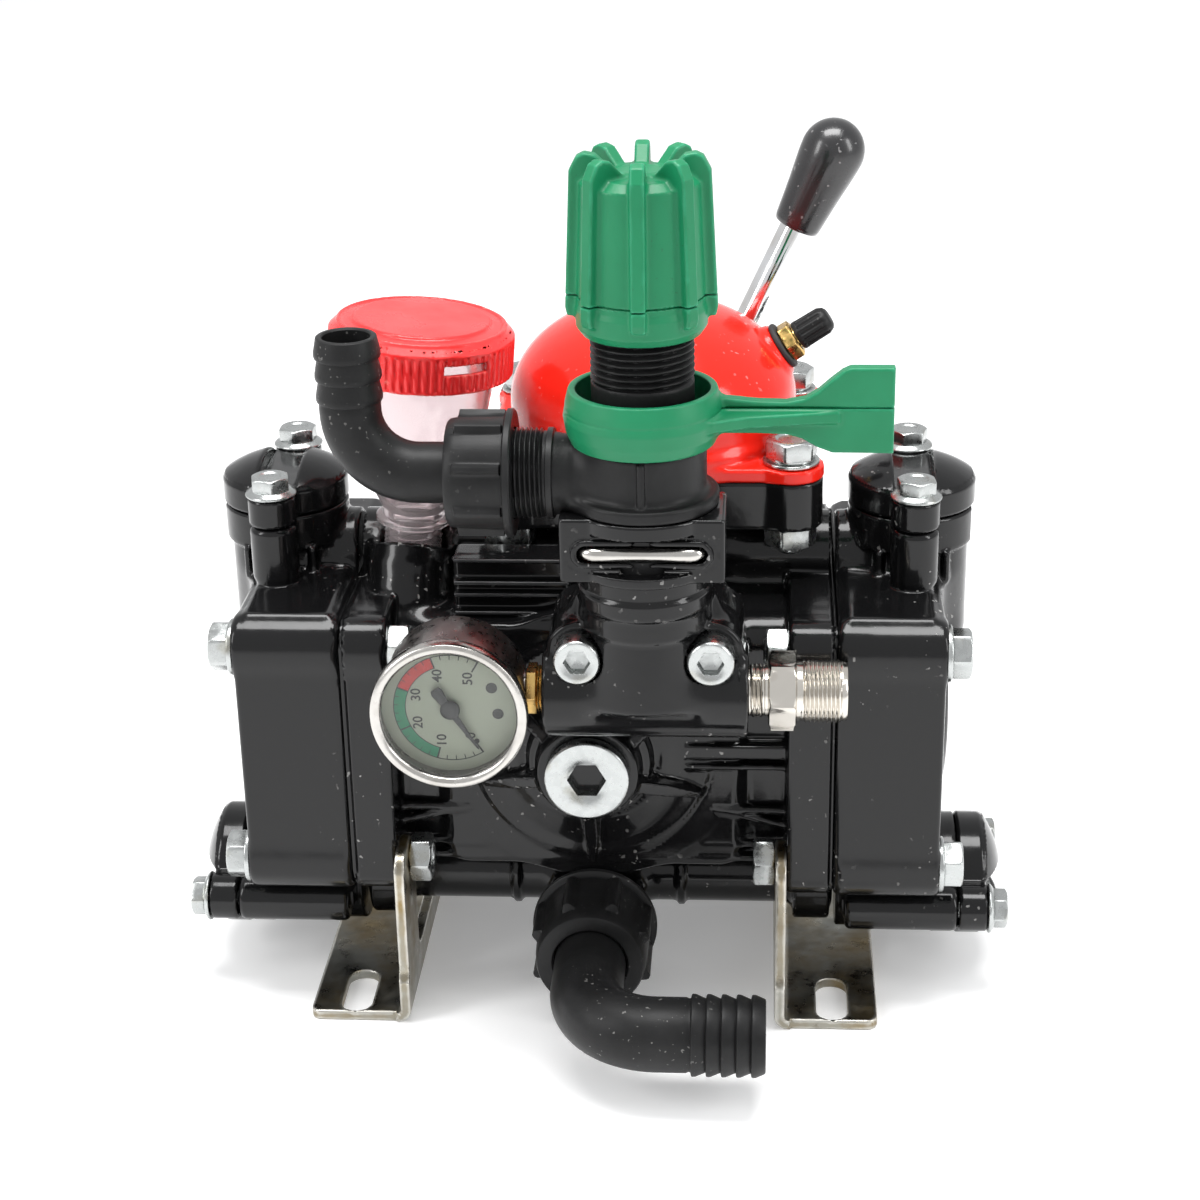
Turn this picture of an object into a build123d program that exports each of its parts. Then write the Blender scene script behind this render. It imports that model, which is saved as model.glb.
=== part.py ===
from build123d import *
import math
import os

os.makedirs("parts", exist_ok=True)

# Frame: X to the right, Y to the rear, Z up. The floor is z = 0 and the crankshaft lies along Y.
# All sizes are in millimetres.

# Driving dimensions of the castings
axis_z = 101.3  # height of the crankshaft and of both diaphragms
flange_in = 71.0  # inner face of each crankcase flange
seam_x = 88.0  # joint face between the crankcase and a pump head
head_out = 126.0  # outer face of a pump head
flange_width = 133.0  # size of the flanges and heads along Y
flange_height = 108.0  # and along Z
corner_r = 10.0
core_y = 50.0  # front and rear walls of the crankcase stand at this distance
head_bolt_y = 57.5
head_bolt_z = 42.1  # above and below the crank axis

# Fasteners: radius of the shank, size across flats, height of the head
m10_r, m10_flats, m10_head = 5.0, 16.0, 6.5
m8_r, m8_flats, m8_head = 4.0, 13.0, 5.4
hole_gap = 0.1  # clearance of a bolt hole on the radius
washer_r, washer_t = 10.2, 2.0
nut_t = 8.0

# Valves and their covers: two on top of the heads, two below facing outwards
valve_x = 115.8
valve_r = 23.0
valve_barrel_r = 21.5
cover_bolt_y = 27.8  # from the valve axis
delivery_seam_z = 179.5
delivery_top_z = 190.5
suction_y, suction_z = -18.0, 34.4
suction_seam_x = 135.0
cover_t = 11.0
cover_crown = 7.0
delivery_pocket_z = 153.0  # floor of the pocket that holds the valve
suction_pocket_x = 105.5
pocket_r = 17.0

# Drive train
stroke = 4.0  # throw of the eccentric
liner_r = 22.0
bearing_bore_r, bearing_outer_r = 11.0, 23.5
clutch_shift = 6.0
lever_angle = 25.0  # lean of the resting lever to the right of upright
lever_swing = 50.0
lever_y = 91.0
shaft_end_y = 139.2
shaft_shoulder_y, shaft_r = 118.0, 10.0  # the free end of the shaft is a little thinner

# Control unit in front of the crankcase
unit_x, unit_y = 21.9, -82.0
bar_z, bar_r = 139.8, 16.6
bar_left, bar_right = -13.2, 56.9
clip_z = 189.2
body_low, body_high = 209.4, 230.2  # plain part of the regulator body
neck_r = 17.1
bypass_z = 218.8

# Pressure gauge, which faces forwards
gauge_x, gauge_z = -44.0, 139.8
gauge_front_y = -107.0
gauge_zero = -57.0  # direction of the resting needle, from +X towards +Z

# Accumulator on the top deck
dome_x, dome_y = 20.5, 20.0
plate_z, plate_t = 178.0, 18.0
dome_r, dome_rise, dome_wide_z = 53.0, 36.5, 213.0
dome_bolt_x, dome_bolt_y = 51.0, 42.0
plate_y = 22.0

# Oil cup, which leans a little to the right
cup_x, cup_y, cup_z, cup_lean = -67.2, -15.0, 165.0, 5.0

# Suction port under the crankcase, which faces forwards
port_z = 28.0
suction_elbow_y = -125.0

# Feet
foot_t = 4.0
foot_reach = 38.0
foot_half = 77.0
ear_w = 26.0
slot_y = 62.0
slot_w, slot_l = 11.5, 28.0


def save(part, name):
    """Label a finished piece and write it under its own name."""
    part.label = name
    export_step(part, f"parts/{name}.step")


def turned(outline, origin, along):
    """Solid of revolution of (distance, radius) pairs, measured from origin in the direction along."""
    axis = Vector(*along).normalized()
    side = Vector(1, 0, 0) if abs(axis.Z) > 0.9 else Vector(0, 0, 1)
    across = (side - axis * side.dot(axis)).normalized()
    with BuildPart() as body:
        with BuildSketch(Plane(origin=origin, x_dir=across, z_dir=across.cross(axis))):
            with BuildLine():
                Polyline(*[(radius, distance) for distance, radius in outline], close=True)
            make_face()
        revolve(axis=Axis(origin, axis))
    return body.part


def tube(outer_r, inner_r, start, end, origin, along):
    """Plain ring between two distances along an axis."""
    return turned([(start, inner_r), (start, outer_r), (end, outer_r), (end, inner_r)], origin, along)


def hexagon(flats, start, end, origin, along):
    """Hexagonal prism between two distances along an axis."""
    with BuildPart() as body:
        with BuildSketch(Plane(origin=origin, z_dir=along).offset(start)):
            RegularPolygon(flats / 2, 6, major_radius=False)
        extrude(amount=end - start)
    return body.part


def hex_bolt(seat, along, size, flange_r, flange_t, shank):
    """Hexagon bolt on a seat, its head pointing along and its shank running the other way."""
    shank_r, flats, height = size
    with BuildPart() as body:
        add(turned([(-shank, 0), (-shank, shank_r), (0, shank_r), (0, flange_r), (flange_t, flange_r),
                    (flange_t, 0)], seat, along))
        add(hexagon(flats, flange_t, flange_t + height, seat, along))
    return body.part


def hex_nut(seat, along):
    """M10 nut that stands on a seat."""
    with BuildPart() as body:
        add(hexagon(m10_flats, 0, nut_t, seat, along))
        add(turned([(-1, 0), (-1, m10_r + 0.02), (nut_t + 1, m10_r + 0.02), (nut_t + 1, 0)], seat, along),
            mode=Mode.SUBTRACT)
    return body.part


def mirrored(piece):
    """The same piece on the other side of the pump."""
    return piece.mirror(Plane.YZ)


m10 = (m10_r, m10_flats, m10_head)
m8 = (m8_r, m8_flats, m8_head)
crank = (0, 0, axis_z)
unit = (unit_x, unit_y, 0)
right, rear, up = (1, 0, 0), (0, 1, 0), (0, 0, 1)
cup_axis = (math.sin(math.radians(cup_lean)), 0, math.cos(math.radians(cup_lean)))
cup_seat = (cup_x, cup_y, cup_z)
dome_bolts = [(dome_x + sx * dome_bolt_x, plate_y + sy * dome_bolt_y) for sx in (-1, 1) for sy in (-1, 1)]
head_bolt_spots = [(sy * head_bolt_y, axis_z + sz * head_bolt_z) for sy in (-1, 1) for sz in (-1, 1)]
screw_spots = [unit_x - 22.5, unit_x + 22.5]
screw_z = 157.2
unit_pad = (66, 32)  # width and height of the control unit's seat
unit_pad_z = 148.5

# ---------------------------------------------------------------- crankcase
# One casting: a hollow core between two flanges, the front boss with its ribs, the delivery duct
# and the pedestal on the top deck, and the boss of the oil cup.
boss_front_y = 72.5
housing_spigot_r = 38.0
clutch_bolt_x, clutch_bolt_z = 44.0, 41.0
duct_z, duct_r = 160.0, 14.5
cavity_x, cavity_y, cavity_low, cavity_high = 58.0, 38.0, 60.0, 142.0

with BuildPart() as crankcase:
    with BuildSketch(Plane.YZ.offset(-seam_x)):
        with Locations((0, axis_z)):
            RectangleRounded(2 * core_y - 4, 98, 14)
    extrude(amount=2 * seam_x)
    with BuildSketch(Plane.XZ.offset(-core_y)):
        with Locations((0, axis_z)):
            RectangleRounded(106, 97, 8)
    extrude(amount=4)
    for start in (flange_in, -seam_x):
        with BuildSketch(Plane.YZ.offset(start)):
            with Locations((0, axis_z)):
                RectangleRounded(flange_width, flange_height, corner_r)
        extrude(amount=seam_x - flange_in)
    add(turned([(core_y - 2, 0), (core_y - 2, 43), (core_y + 2, 42), (58, 33), (60, 29), (66, 28), (66, 22),
                (boss_front_y, 21), (boss_front_y, 0)], crank, (0, -1, 0)))
    for angle in (35, 145, 215, 270, 325):
        with BuildSketch(Plane.XZ.offset(core_y - 2)):
            with Locations((31 * math.cos(math.radians(angle)), axis_z + 31 * math.sin(math.radians(angle)))):
                Rectangle(34, 5, rotation=angle)
        extrude(amount=7)
    with BuildSketch(Plane.YZ.offset(-seam_x)):
        with Locations((0, duct_z)):
            Circle(duct_r)
    extrude(amount=2 * seam_x)
    with BuildSketch(Plane.XY.offset(axis_z)):
        with Locations((dome_x, plate_y - 3)):
            RectangleRounded(70, 54, 8)
    extrude(amount=plate_z - axis_z)
    add(turned([(-30, 0), (-30, 15), (-3, 14.5), (-3, 16.5), (0, 16.5), (0, 0)], cup_seat, cup_axis))
    with BuildSketch(Plane.XZ.offset(cavity_y - 6)):
        with Locations((unit_x, unit_pad_z + 3)):
            RectangleRounded(68, 32, 5)
    extrude(amount=core_y - cavity_y + 6)

    # Hollow core, piston bores, duct and passages
    with BuildSketch(Plane.XY.offset(cavity_low)):
        Rectangle(2 * cavity_x, 2 * cavity_y)
    extrude(amount=cavity_high - cavity_low, mode=Mode.SUBTRACT)
    for side in (-1, 1):
        add(turned([(cavity_x - 1, 0), (cavity_x - 1, 26), (84, 26), (84, 40), (86.5, 40), (86.5, 46.2),
                    (seam_x + 1, 46.2), (seam_x + 1, 0)], crank, (side, 0, 0)), mode=Mode.SUBTRACT)
    add(tube(9, 0, -seam_x - 1, seam_x + 1, (0, 0, duct_z), right), mode=Mode.SUBTRACT)
    add(tube(6, 0, duct_z, plate_z + 1, (dome_x, plate_y, 0), up), mode=Mode.SUBTRACT)
    add(tube(11, 0, -40, 1, cup_seat, cup_axis), mode=Mode.SUBTRACT)
    add(tube(13.5, 0, -3, 1, cup_seat, cup_axis), mode=Mode.SUBTRACT)
    # Shaft bore from front to rear: plug thread, front bearing seat, open rear
    add(turned([(-boss_front_y - 1, 0), (-boss_front_y - 1, 9.6), (-58, 9.6), (-58, 14), (-52, 14),
                (-52, bearing_outer_r), (-30, bearing_outer_r), (-30, 0)], crank, rear), mode=Mode.SUBTRACT)
    add(tube(housing_spigot_r, 0, 30, core_y + 1, crank, rear), mode=Mode.SUBTRACT)
    # Room for the control unit and its screws
    with BuildSketch(Plane.XZ.offset(core_y)):
        with Locations((unit_x, unit_pad_z)):
            Rectangle(unit_pad[0] + 1, unit_pad[1] + 1)
    extrude(amount=20, mode=Mode.SUBTRACT)
    add(tube(17.5, 0, 0, 30, cup_seat, cup_axis), mode=Mode.SUBTRACT)
    for x in screw_spots:
        add(tube(m10_r + hole_gap, 0, 30, core_y + 1, (x, 0, screw_z), (0, -1, 0)), mode=Mode.SUBTRACT)
    for y, z in head_bolt_spots:
        add(tube(m10_r + hole_gap, 0, -seam_x - 1, seam_x + 1, (0, y, z), right), mode=Mode.SUBTRACT)
    for sx in (-1, 1):
        for sz in (-1, 1):
            add(tube(m8_r + hole_gap, 0, 36, core_y + 1, (sx * clutch_bolt_x, 0, axis_z + sz * clutch_bolt_z),
                     rear), mode=Mode.SUBTRACT)
save(crankcase.part, "crankcase")

with BuildPart() as oil_plug:
    add(turned([(58.5, 0), (58.5, 9.5), (boss_front_y, 9.5), (boss_front_y, 15), (77.0, 15), (77.5, 14.4),
                (77.5, 0)], crank, (0, -1, 0)))
    add(hexagon(12, 70, 78, crank, (0, -1, 0)), mode=Mode.SUBTRACT)
    add(turned([(76.5, 0), (76.5, 7), (78, 8.5), (78, 0)], crank, (0, -1, 0)), mode=Mode.SUBTRACT)
save(oil_plug.part, "oil_plug")

# ---------------------------------------------------------------- pump heads
# The delivery valve stands on top, the suction valve hangs below; both open into the chamber.
with BuildPart() as head_right:
    with BuildSketch(Plane.YZ.offset(seam_x)):
        with Locations((0, axis_z)):
            RectangleRounded(flange_width, flange_height, corner_r)
    extrude(amount=head_out - seam_x)
    chamfer(head_right.faces().sort_by(Axis.X)[-1].edges(), 1.5)
    add(turned([(130, 0), (130, 20.5), (170, valve_barrel_r), (170, valve_r), (delivery_seam_z, valve_r),
                (delivery_seam_z, 0)], (valve_x, 0, 0), up))
    for sy in (-1, 1):
        add(tube(8, 0, 156, delivery_seam_z, (valve_x, sy * cover_bolt_y, 0), up))
    add(tube(duct_r, 0, seam_x, valve_x, (0, 0, duct_z), right))
    add(turned([(seam_x, 0), (seam_x, valve_barrel_r), (suction_seam_x - 9, valve_barrel_r),
                (suction_seam_x - 9, valve_r), (suction_seam_x, valve_r), (suction_seam_x, 0)],
               (0, suction_y, suction_z), right))
    for sy in (-1, 1):
        add(tube(8, 0, 92, suction_seam_x, (0, suction_y + sy * cover_bolt_y, suction_z), right))

    # Pumping chamber, valve pockets and passages
    add(turned([(seam_x - 1, 0), (seam_x - 1, 46.2), (89.5, 46.2), (89.5, 39), (106, 30), (106, 0)],
               crank, right), mode=Mode.SUBTRACT)
    add(tube(8, 0, 125, delivery_pocket_z + 1, (106, 0, 0), up), mode=Mode.SUBTRACT)
    add(tube(pocket_r, 0, delivery_pocket_z, delivery_seam_z + 1, (valve_x, 0, 0), up), mode=Mode.SUBTRACT)
    add(tube(9, 0, seam_x - 1, valve_x, (0, 0, duct_z), right), mode=Mode.SUBTRACT)
    add(tube(pocket_r, 0, suction_pocket_x, suction_seam_x + 1, (0, suction_y, suction_z), right),
        mode=Mode.SUBTRACT)
    add(tube(8, 0, seam_x - 1, suction_pocket_x + 1, (0, suction_y, suction_z), right), mode=Mode.SUBTRACT)
    add(tube(5.5, 0, 0, 36, (118, suction_y, 45), (-0.45, 0, 0.89)), mode=Mode.SUBTRACT)
    for y, z in head_bolt_spots:
        add(tube(m10_r + hole_gap, 0, seam_x - 1, head_out + 1, (0, y, z), right), mode=Mode.SUBTRACT)
    for sy in (-1, 1):
        add(tube(m8_r + hole_gap, 0, 160, delivery_seam_z + 1, (valve_x, sy * cover_bolt_y, 0), up),
            mode=Mode.SUBTRACT)
        add(tube(m8_r + hole_gap, 0, 112, suction_seam_x + 1, (0, suction_y + sy * cover_bolt_y, suction_z),
                 right), mode=Mode.SUBTRACT)
save(head_right.part, "head_right")
save(mirrored(head_right.part), "head_left")


def valve_cover(seat, along, across):
    """Round cover with a crowned top, a channel across the crown and two bolt lugs."""
    base = Plane(origin=seat, x_dir=across, z_dir=along)
    with BuildPart() as cover:
        with BuildSketch(base):
            Circle(valve_r)
            with Locations((-cover_bolt_y, 0), (cover_bolt_y, 0)):
                Circle(8)
            Rectangle(2 * cover_bolt_y, 14)
        extrude(amount=cover_t)
        crown = [(cover_t, valve_r - 0.5), (cover_t + 0.45 * cover_crown, 17), (cover_t + 0.8 * cover_crown, 10),
                 (cover_t + cover_crown, 0), (cover_t, 0)]
        add(turned(crown, seat, along))
        with BuildSketch(base.offset(cover_t)):
            Rectangle(2 * cover_bolt_y + 20, 14)
        extrude(amount=cover_crown + 1, mode=Mode.SUBTRACT)
        with BuildSketch(base.offset(-1)):
            with Locations((-cover_bolt_y, 0), (cover_bolt_y, 0)):
                Circle(m8_r + hole_gap)
        extrude(amount=cover_t + 2, mode=Mode.SUBTRACT)
    return cover.part


with BuildPart() as valve_covers:
    for side in (-1, 1):
        add(valve_cover((side * valve_x, 0, delivery_seam_z), up, rear))
        add(valve_cover((side * suction_seam_x, suction_y, suction_z), (side, 0, 0), rear))
save(valve_covers.part, "valve_covers")

# The M8 flange bolts hold the four valve covers and the clutch housing.
housing_flange_y = 58.0
with BuildPart() as flange_bolts:
    for side in (-1, 1):
        for sy in (-1, 1):
            add(hex_bolt((side * valve_x, sy * cover_bolt_y, delivery_top_z), up, m8, 9, 1.8, 28))
            add(hex_bolt((side * (suction_seam_x + cover_t), suction_y + sy * cover_bolt_y, suction_z),
                         (side, 0, 0), m8, 9, 1.8, 28))
            add(hex_bolt((side * clutch_bolt_x, housing_flange_y, axis_z + sy * clutch_bolt_z), rear, m8,
                         9, 1.8, 20))
save(flange_bolts.part, "flange_bolts")

with BuildPart() as head_bolts:
    for side in (-1, 1):
        for y, z in head_bolt_spots:
            seat = (side * (head_out + washer_t), y, z)
            add(hex_bolt(seat, (side, 0, 0), m10, 8.5, 0.4, 66))
            add(tube(washer_r, m10_r + 0.02, -washer_t, 0, seat, (side, 0, 0)))
save(head_bolts.part, "head_bolts")

with BuildPart() as hex_nuts:
    for side in (-1, 1):
        for y, z in head_bolt_spots:
            grip = foot_t if z < axis_z else 0.0
            add(hex_nut((side * (flange_in - grip), y, z), (-side, 0, 0)))
    for x, y in dome_bolts:
        add(hex_nut((x, y, plate_z), (0, 0, -1)))
save(hex_nuts.part, "hex_nuts")

# ---------------------------------------------------------------- feet
# Each foot is one bent bracket: two ears bolted inside the flange, a low web and a slotted flange.
with BuildPart() as feet:
    with BuildSketch(Plane.YZ.offset(flange_in - foot_t)):
        with Locations((0, 8)):
            Rectangle(2 * foot_half, 16)
        for sy in (-1, 1):
            with Locations((sy * (foot_half - ear_w / 2), 38)):
                RectangleRounded(ear_w, 60, 8)
            with Locations((sy * (foot_half - ear_w / 2), 15)):
                Rectangle(ear_w, 30)
    extrude(amount=foot_t)
    with BuildSketch(Plane.XY):
        with Locations((flange_in - foot_t + foot_reach / 2, 0)):
            RectangleRounded(foot_reach, 2 * foot_half, 3)
        with Locations((flange_in - foot_t + 5, 0)):
            Rectangle(10, 2 * foot_half)
        with Locations((flange_in - foot_t + 21.5, -slot_y), (flange_in - foot_t + 21.5, slot_y)):
            SlotOverall(slot_l, slot_w, rotation=90, mode=Mode.SUBTRACT)
    extrude(amount=foot_t)
    for sy in (-1, 1):
        add(tube(m10_r + hole_gap, 0, flange_in - foot_t - 1, flange_in + 1,
                 (0, sy * head_bolt_y, axis_z - head_bolt_z), right), mode=Mode.SUBTRACT)
    mirror(about=Plane.YZ)
save(feet.part, "feet")

# ---------------------------------------------------------------- suction side
manifold_r = 12.8
with BuildPart() as suction_manifold:
    add(tube(manifold_r, 0, -seam_x, seam_x, (0, suction_y, suction_z), right))
    for side in (-1, 1):
        add(tube(16, 0, 76, seam_x, (0, suction_y, suction_z - 3.5), (side, 0, 0)))
    add(turned([(10, 0), (10, 17), (46, 17), (46, 15), (65.5, 15), (65.5, 0)], (0, 0, port_z), (0, -1, 0)))
    add(tube(8, 0, -seam_x - 1, seam_x + 1, (0, suction_y, suction_z), right), mode=Mode.SUBTRACT)
    add(tube(10, 0, 18, 66, (0, 0, port_z), (0, -1, 0)), mode=Mode.SUBTRACT)
save(suction_manifold.part, "suction_manifold")


def union_nut(outline, lugs, lug_r, lug_length, origin, along):
    """Hand-tightened union nut: a turned shell with lugs for grip along its outside."""
    with BuildPart() as nut:
        add(turned(outline, origin, along))
        for i in range(lugs):
            turn = 360 * i / lugs
            with BuildSketch(Plane(origin=origin, z_dir=along).offset(lug_length[0])):
                with PolarLocations(lug_r, 1, start_angle=turn):
                    Rectangle(4, 5)
            extrude(amount=lug_length[1] - lug_length[0])
    return nut.part


suction_nut = [(50, 15.1), (50, 23.3), (53, 23.3), (53, 21), (78, 20.3), (80, 18.5), (80, 13.5), (70.7, 13.5),
               (70.7, 15.1)]
save(union_nut(suction_nut, 8, 22, (53, 74), (0, 0, port_z), (0, -1, 0)), "suction_union_nut")


def bent_pipe(points, bend_r, outer_r, inner_r):
    """Round pipe along a path with one rounded corner."""
    with BuildPart() as pipe:
        for radius, mode in ((outer_r, Mode.ADD), (inner_r, Mode.SUBTRACT)):
            with BuildLine() as path:
                FilletPolyline(*points, radius=bend_r)
            start = path.line @ 0
            with BuildSketch(Plane(origin=start, z_dir=path.line % 0)):
                Circle(radius)
            sweep(path=path.line, mode=mode)
    return pipe.part


def barbs(start, pitch, count, root_r, crest_r, bore_r):
    """Saw-tooth outline of a hose tail, from its first barb to its open end."""
    outline = [(start, bore_r), (start, root_r)]
    for i in range(count):
        near = start + i * pitch
        outline += [(near + 0.2, crest_r), (near + 0.35 * pitch, crest_r), (near + pitch, root_r)]
    return outline + [(start + count * pitch, bore_r)]


suction_tail = 38.0
with BuildPart() as suction_elbow:
    add(bent_pipe([(0, -66, port_z), (0, suction_elbow_y, port_z), (64, suction_elbow_y, port_z)], 26, 13, 9))
    add(tube(14.9, 9, 65.8, 70.4, (0, 0, port_z), (0, -1, 0)))
    add(turned(barbs(suction_tail, 5.2, 5, 12.6, 14.2, 9), (0, suction_elbow_y, port_z), right))
save(suction_elbow.part, "suction_elbow")

# ---------------------------------------------------------------- accumulator
with BuildPart() as accumulator_base:
    with BuildSketch(Plane.XY.offset(plate_z)):
        with Locations((dome_x, plate_y)):
            RectangleRounded(120, 102, 10)
    extrude(amount=plate_t)
    add(tube(6, 0, plate_z - 1, plate_z + plate_t, (dome_x, plate_y, 0), up), mode=Mode.SUBTRACT)
    add(turned([(plate_z + 9, 0), (plate_z + 9, 33), (plate_z + plate_t + 1, 48), (plate_z + plate_t + 1, 0)],
               (dome_x, dome_y, 0), up), mode=Mode.SUBTRACT)
    for x, y in dome_bolts:
        add(tube(m10_r + hole_gap, 0, plate_z - 1, plate_z + plate_t + 1, (x, y, 0), up), mode=Mode.SUBTRACT)
save(accumulator_base.part, "accumulator_base")

dome_base_z = plate_z + plate_t
membrane = [(dome_base_z, 51 - 2), (dome_base_z + 2, 49), (dome_base_z + 2, 44), (dome_base_z - 4, 34),
            (dome_base_z - 6, 0), (dome_base_z - 8, 0), (dome_base_z - 6, 35), (dome_base_z, 44.5)]
save(turned(membrane, (dome_x, dome_y, 0), up), "accumulator_membrane")


def dome_outline(radius, rise, floor):
    """Half section of the dome: straight skirt, then a quarter ellipse."""
    steps = [math.radians(a) for a in range(0, 91, 6)]
    curve = [(dome_wide_z + rise * math.sin(a), radius * math.cos(a)) for a in steps]
    return [(floor, 0), (floor, radius)] + curve[:-1] + [(dome_wide_z + rise, 0)]


with BuildPart() as accumulator_dome:
    with BuildSketch(Plane.XY.offset(dome_base_z)):
        with Locations((dome_x, plate_y)):
            RectangleRounded(120, 102, 10)
    extrude(amount=5)
    add(turned(dome_outline(dome_r, dome_rise, dome_base_z), (dome_x, dome_y, 0), up))
    with BuildSketch(Plane.XY.offset(dome_base_z + 5)):
        with Locations((dome_x, dome_y)):
            Circle(dome_r + 1.5)
    extrude(amount=4)
    add(turned(dome_outline(dome_r - 4, dome_rise - 4, dome_base_z - 1), (dome_x, dome_y, 0), up),
        mode=Mode.SUBTRACT)
    for x, y in dome_bolts:
        add(tube(m10_r + hole_gap, 0, dome_base_z - 1, dome_base_z + 6, (x, y, 0), up), mode=Mode.SUBTRACT)
        add(tube(washer_r + 0.3, 0, dome_base_z + 5, dome_base_z + 20, (x, y, 0), up), mode=Mode.SUBTRACT)
    valve_lean = math.radians(33)
    valve_dir = (math.cos(valve_lean), 0, math.sin(valve_lean))
    valve_seat = (dome_x + dome_r * math.cos(math.radians(29)) - 0.5, dome_y,
                  dome_wide_z + dome_rise * math.sin(math.radians(29)))
    add(tube(9.5, 0, -6, 1.5, valve_seat, valve_dir))
    add(tube(4.1, 0, -14, 2, valve_seat, valve_dir), mode=Mode.SUBTRACT)
save(accumulator_dome.part, "accumulator_dome")

with BuildPart() as accumulator_bolts:
    for x, y in dome_bolts:
        seat = (x, y, dome_base_z + 5 + washer_t)
        add(hex_bolt(seat, up, (m10_r, 17, m10_head), 8.5, 0.4, 36))
        add(tube(washer_r, m10_r + 0.02, -washer_t, 0, seat, up))
save(accumulator_bolts.part, "accumulator_bolts")

with BuildPart() as charging_valve:
    add(turned([(-12, 0), (-12, 6), (-9, 6), (-9, 4), (17, 4), (17, 0)], valve_seat, valve_dir))
    add(tube(9, 4.02, 1.5, 3.5, valve_seat, valve_dir))
    add(hexagon(13, 3.5, 8.5, valve_seat, valve_dir))
save(charging_valve.part, "charging_valve")

save(turned([(9, 4.3), (9, 5.4), (21, 5.2), (22.5, 4), (22.5, 0), (17.4, 0), (17.4, 4.3)], valve_seat,
            valve_dir), "charging_valve_cap")

# ---------------------------------------------------------------- oil cup
# The cup is an open bowl on a threaded stem; the outline runs up the outside and down the inside.
bowl = [(-12, 7.5), (-12, 10.2), (11, 10.2), (11, 13.8), (13.5, 13.8), (15, 11), (22, 14.5), (30, 18.2),
        (38, 21), (45, 23), (52, 24.5), (60, 25.8), (76, 26.5), (76, 30.3), (84.5, 30.3), (84.5, 28),
        (76, 24.5), (60, 23.8), (52, 22.5), (45, 21), (38, 19), (30, 16.2), (22, 12.5), (16, 7.5)]
save(turned(bowl, cup_seat, cup_axis), "oil_cup")

with BuildPart() as oil_cup_cap:
    add(turned([(70, 31), (70, 33.5), (84.5, 33.5), (87, 30.5), (87, 25), (88.5, 24), (88.5, 0), (84.8, 0),
                (84.8, 31)], cup_seat, cup_axis))
    with BuildSketch(Plane(origin=cup_seat, x_dir=(0.6, -0.8, -0.6 * math.tan(math.radians(cup_lean))),
                           z_dir=cup_axis).offset(77)):
        with Locations((32, 0)):
            Rectangle(6, 17)
    extrude(amount=3.5, mode=Mode.SUBTRACT)
save(oil_cup_cap.part, "oil_cup_cap")

# ---------------------------------------------------------------- control unit
# A crossbar with an upright socket, screwed to the front of the crankcase by two cap screws.
socket_r, socket_bore_r, socket_low, socket_floor = 22.0, 19.4, 171.8, 174.0
plate_low, plate_high, plate_half, plate_depth = 182.6, 199.7, 27.4, 50.0
clip_x, clip_r = 20.0, 2.5
clip_front_y = unit_y - 25.5
screw_seat_y, screw_front_y = 90.0, 100.0

with BuildPart() as control_manifold:
    add(tube(bar_r, 0, bar_left, bar_right, (0, unit_y, bar_z), right))
    with BuildSketch(Plane.XZ.offset(core_y)):
        with Locations((unit_x, unit_pad_z)):
            RectangleRounded(*unit_pad, 6)
    extrude(amount=screw_seat_y - 1 - core_y)
    for x in screw_spots:
        add(tube(10.5, 0, core_y, screw_seat_y, (x, 0, screw_z), (0, -1, 0)))
    with BuildSketch(Plane.XY.offset(bar_z)):
        with Locations((unit_x, unit_y)):
            Rectangle(48, 31)
    with BuildSketch(Plane.XY.offset(socket_low)):
        with Locations((unit_x, unit_y)):
            Circle(socket_r - 1)
    loft()
    add(tube(socket_r, 0, socket_low, plate_low, unit, up))
    with BuildSketch(Plane.XY.offset(plate_low)):
        with Locations((unit_x, unit_y)):
            RectangleRounded(2 * plate_half, plate_depth, 3)
    extrude(amount=plate_high - plate_low)
    # Bores: along the bar, down the socket, and through the plate for the clip
    add(tube(6.5, 0, bar_left - 1, bar_left + 14, (0, unit_y, bar_z), right), mode=Mode.SUBTRACT)
    add(tube(5, 0, bar_left, bar_right, (0, unit_y, bar_z), right), mode=Mode.SUBTRACT)
    add(tube(9.5, 0, bar_right - 12, bar_right + 1, (0, unit_y, bar_z), right), mode=Mode.SUBTRACT)
    add(tube(12, 0, bar_z, socket_floor + 1, unit, up), mode=Mode.SUBTRACT)
    add(tube(socket_bore_r, 0, socket_floor, plate_high + 1, unit, up), mode=Mode.SUBTRACT)
    with BuildSketch(Plane.XZ.offset(-unit_y - 30)):
        with Locations((unit_x, clip_z)):
            SlotOverall(2 * clip_x + 2 * clip_r + 1.2, 2 * clip_r + 1.2)
    extrude(amount=60, mode=Mode.SUBTRACT)
    for x in screw_spots:
        add(tube(m10_r + hole_gap, 0, core_y - 1, screw_seat_y + 1, (x, 0, screw_z), (0, -1, 0)),
            mode=Mode.SUBTRACT)
        add(tube(8.6, 0, screw_seat_y, 120, (x, 0, screw_z), (0, -1, 0)), mode=Mode.SUBTRACT)
save(control_manifold.part, "control_manifold")

with BuildPart() as manifold_screws:
    for x in screw_spots:
        start = (x, 0, screw_z)
        add(turned([(34, 0), (34, m10_r), (screw_seat_y, m10_r), (screw_seat_y, 8), (screw_front_y - 0.6, 8),
                    (screw_front_y, 7.4), (screw_front_y, 0)], start, (0, -1, 0)))
        add(hexagon(8, screw_front_y - 5, screw_front_y + 1, start, (0, -1, 0)), mode=Mode.SUBTRACT)
save(manifold_screws.part, "manifold_screws")

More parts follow.
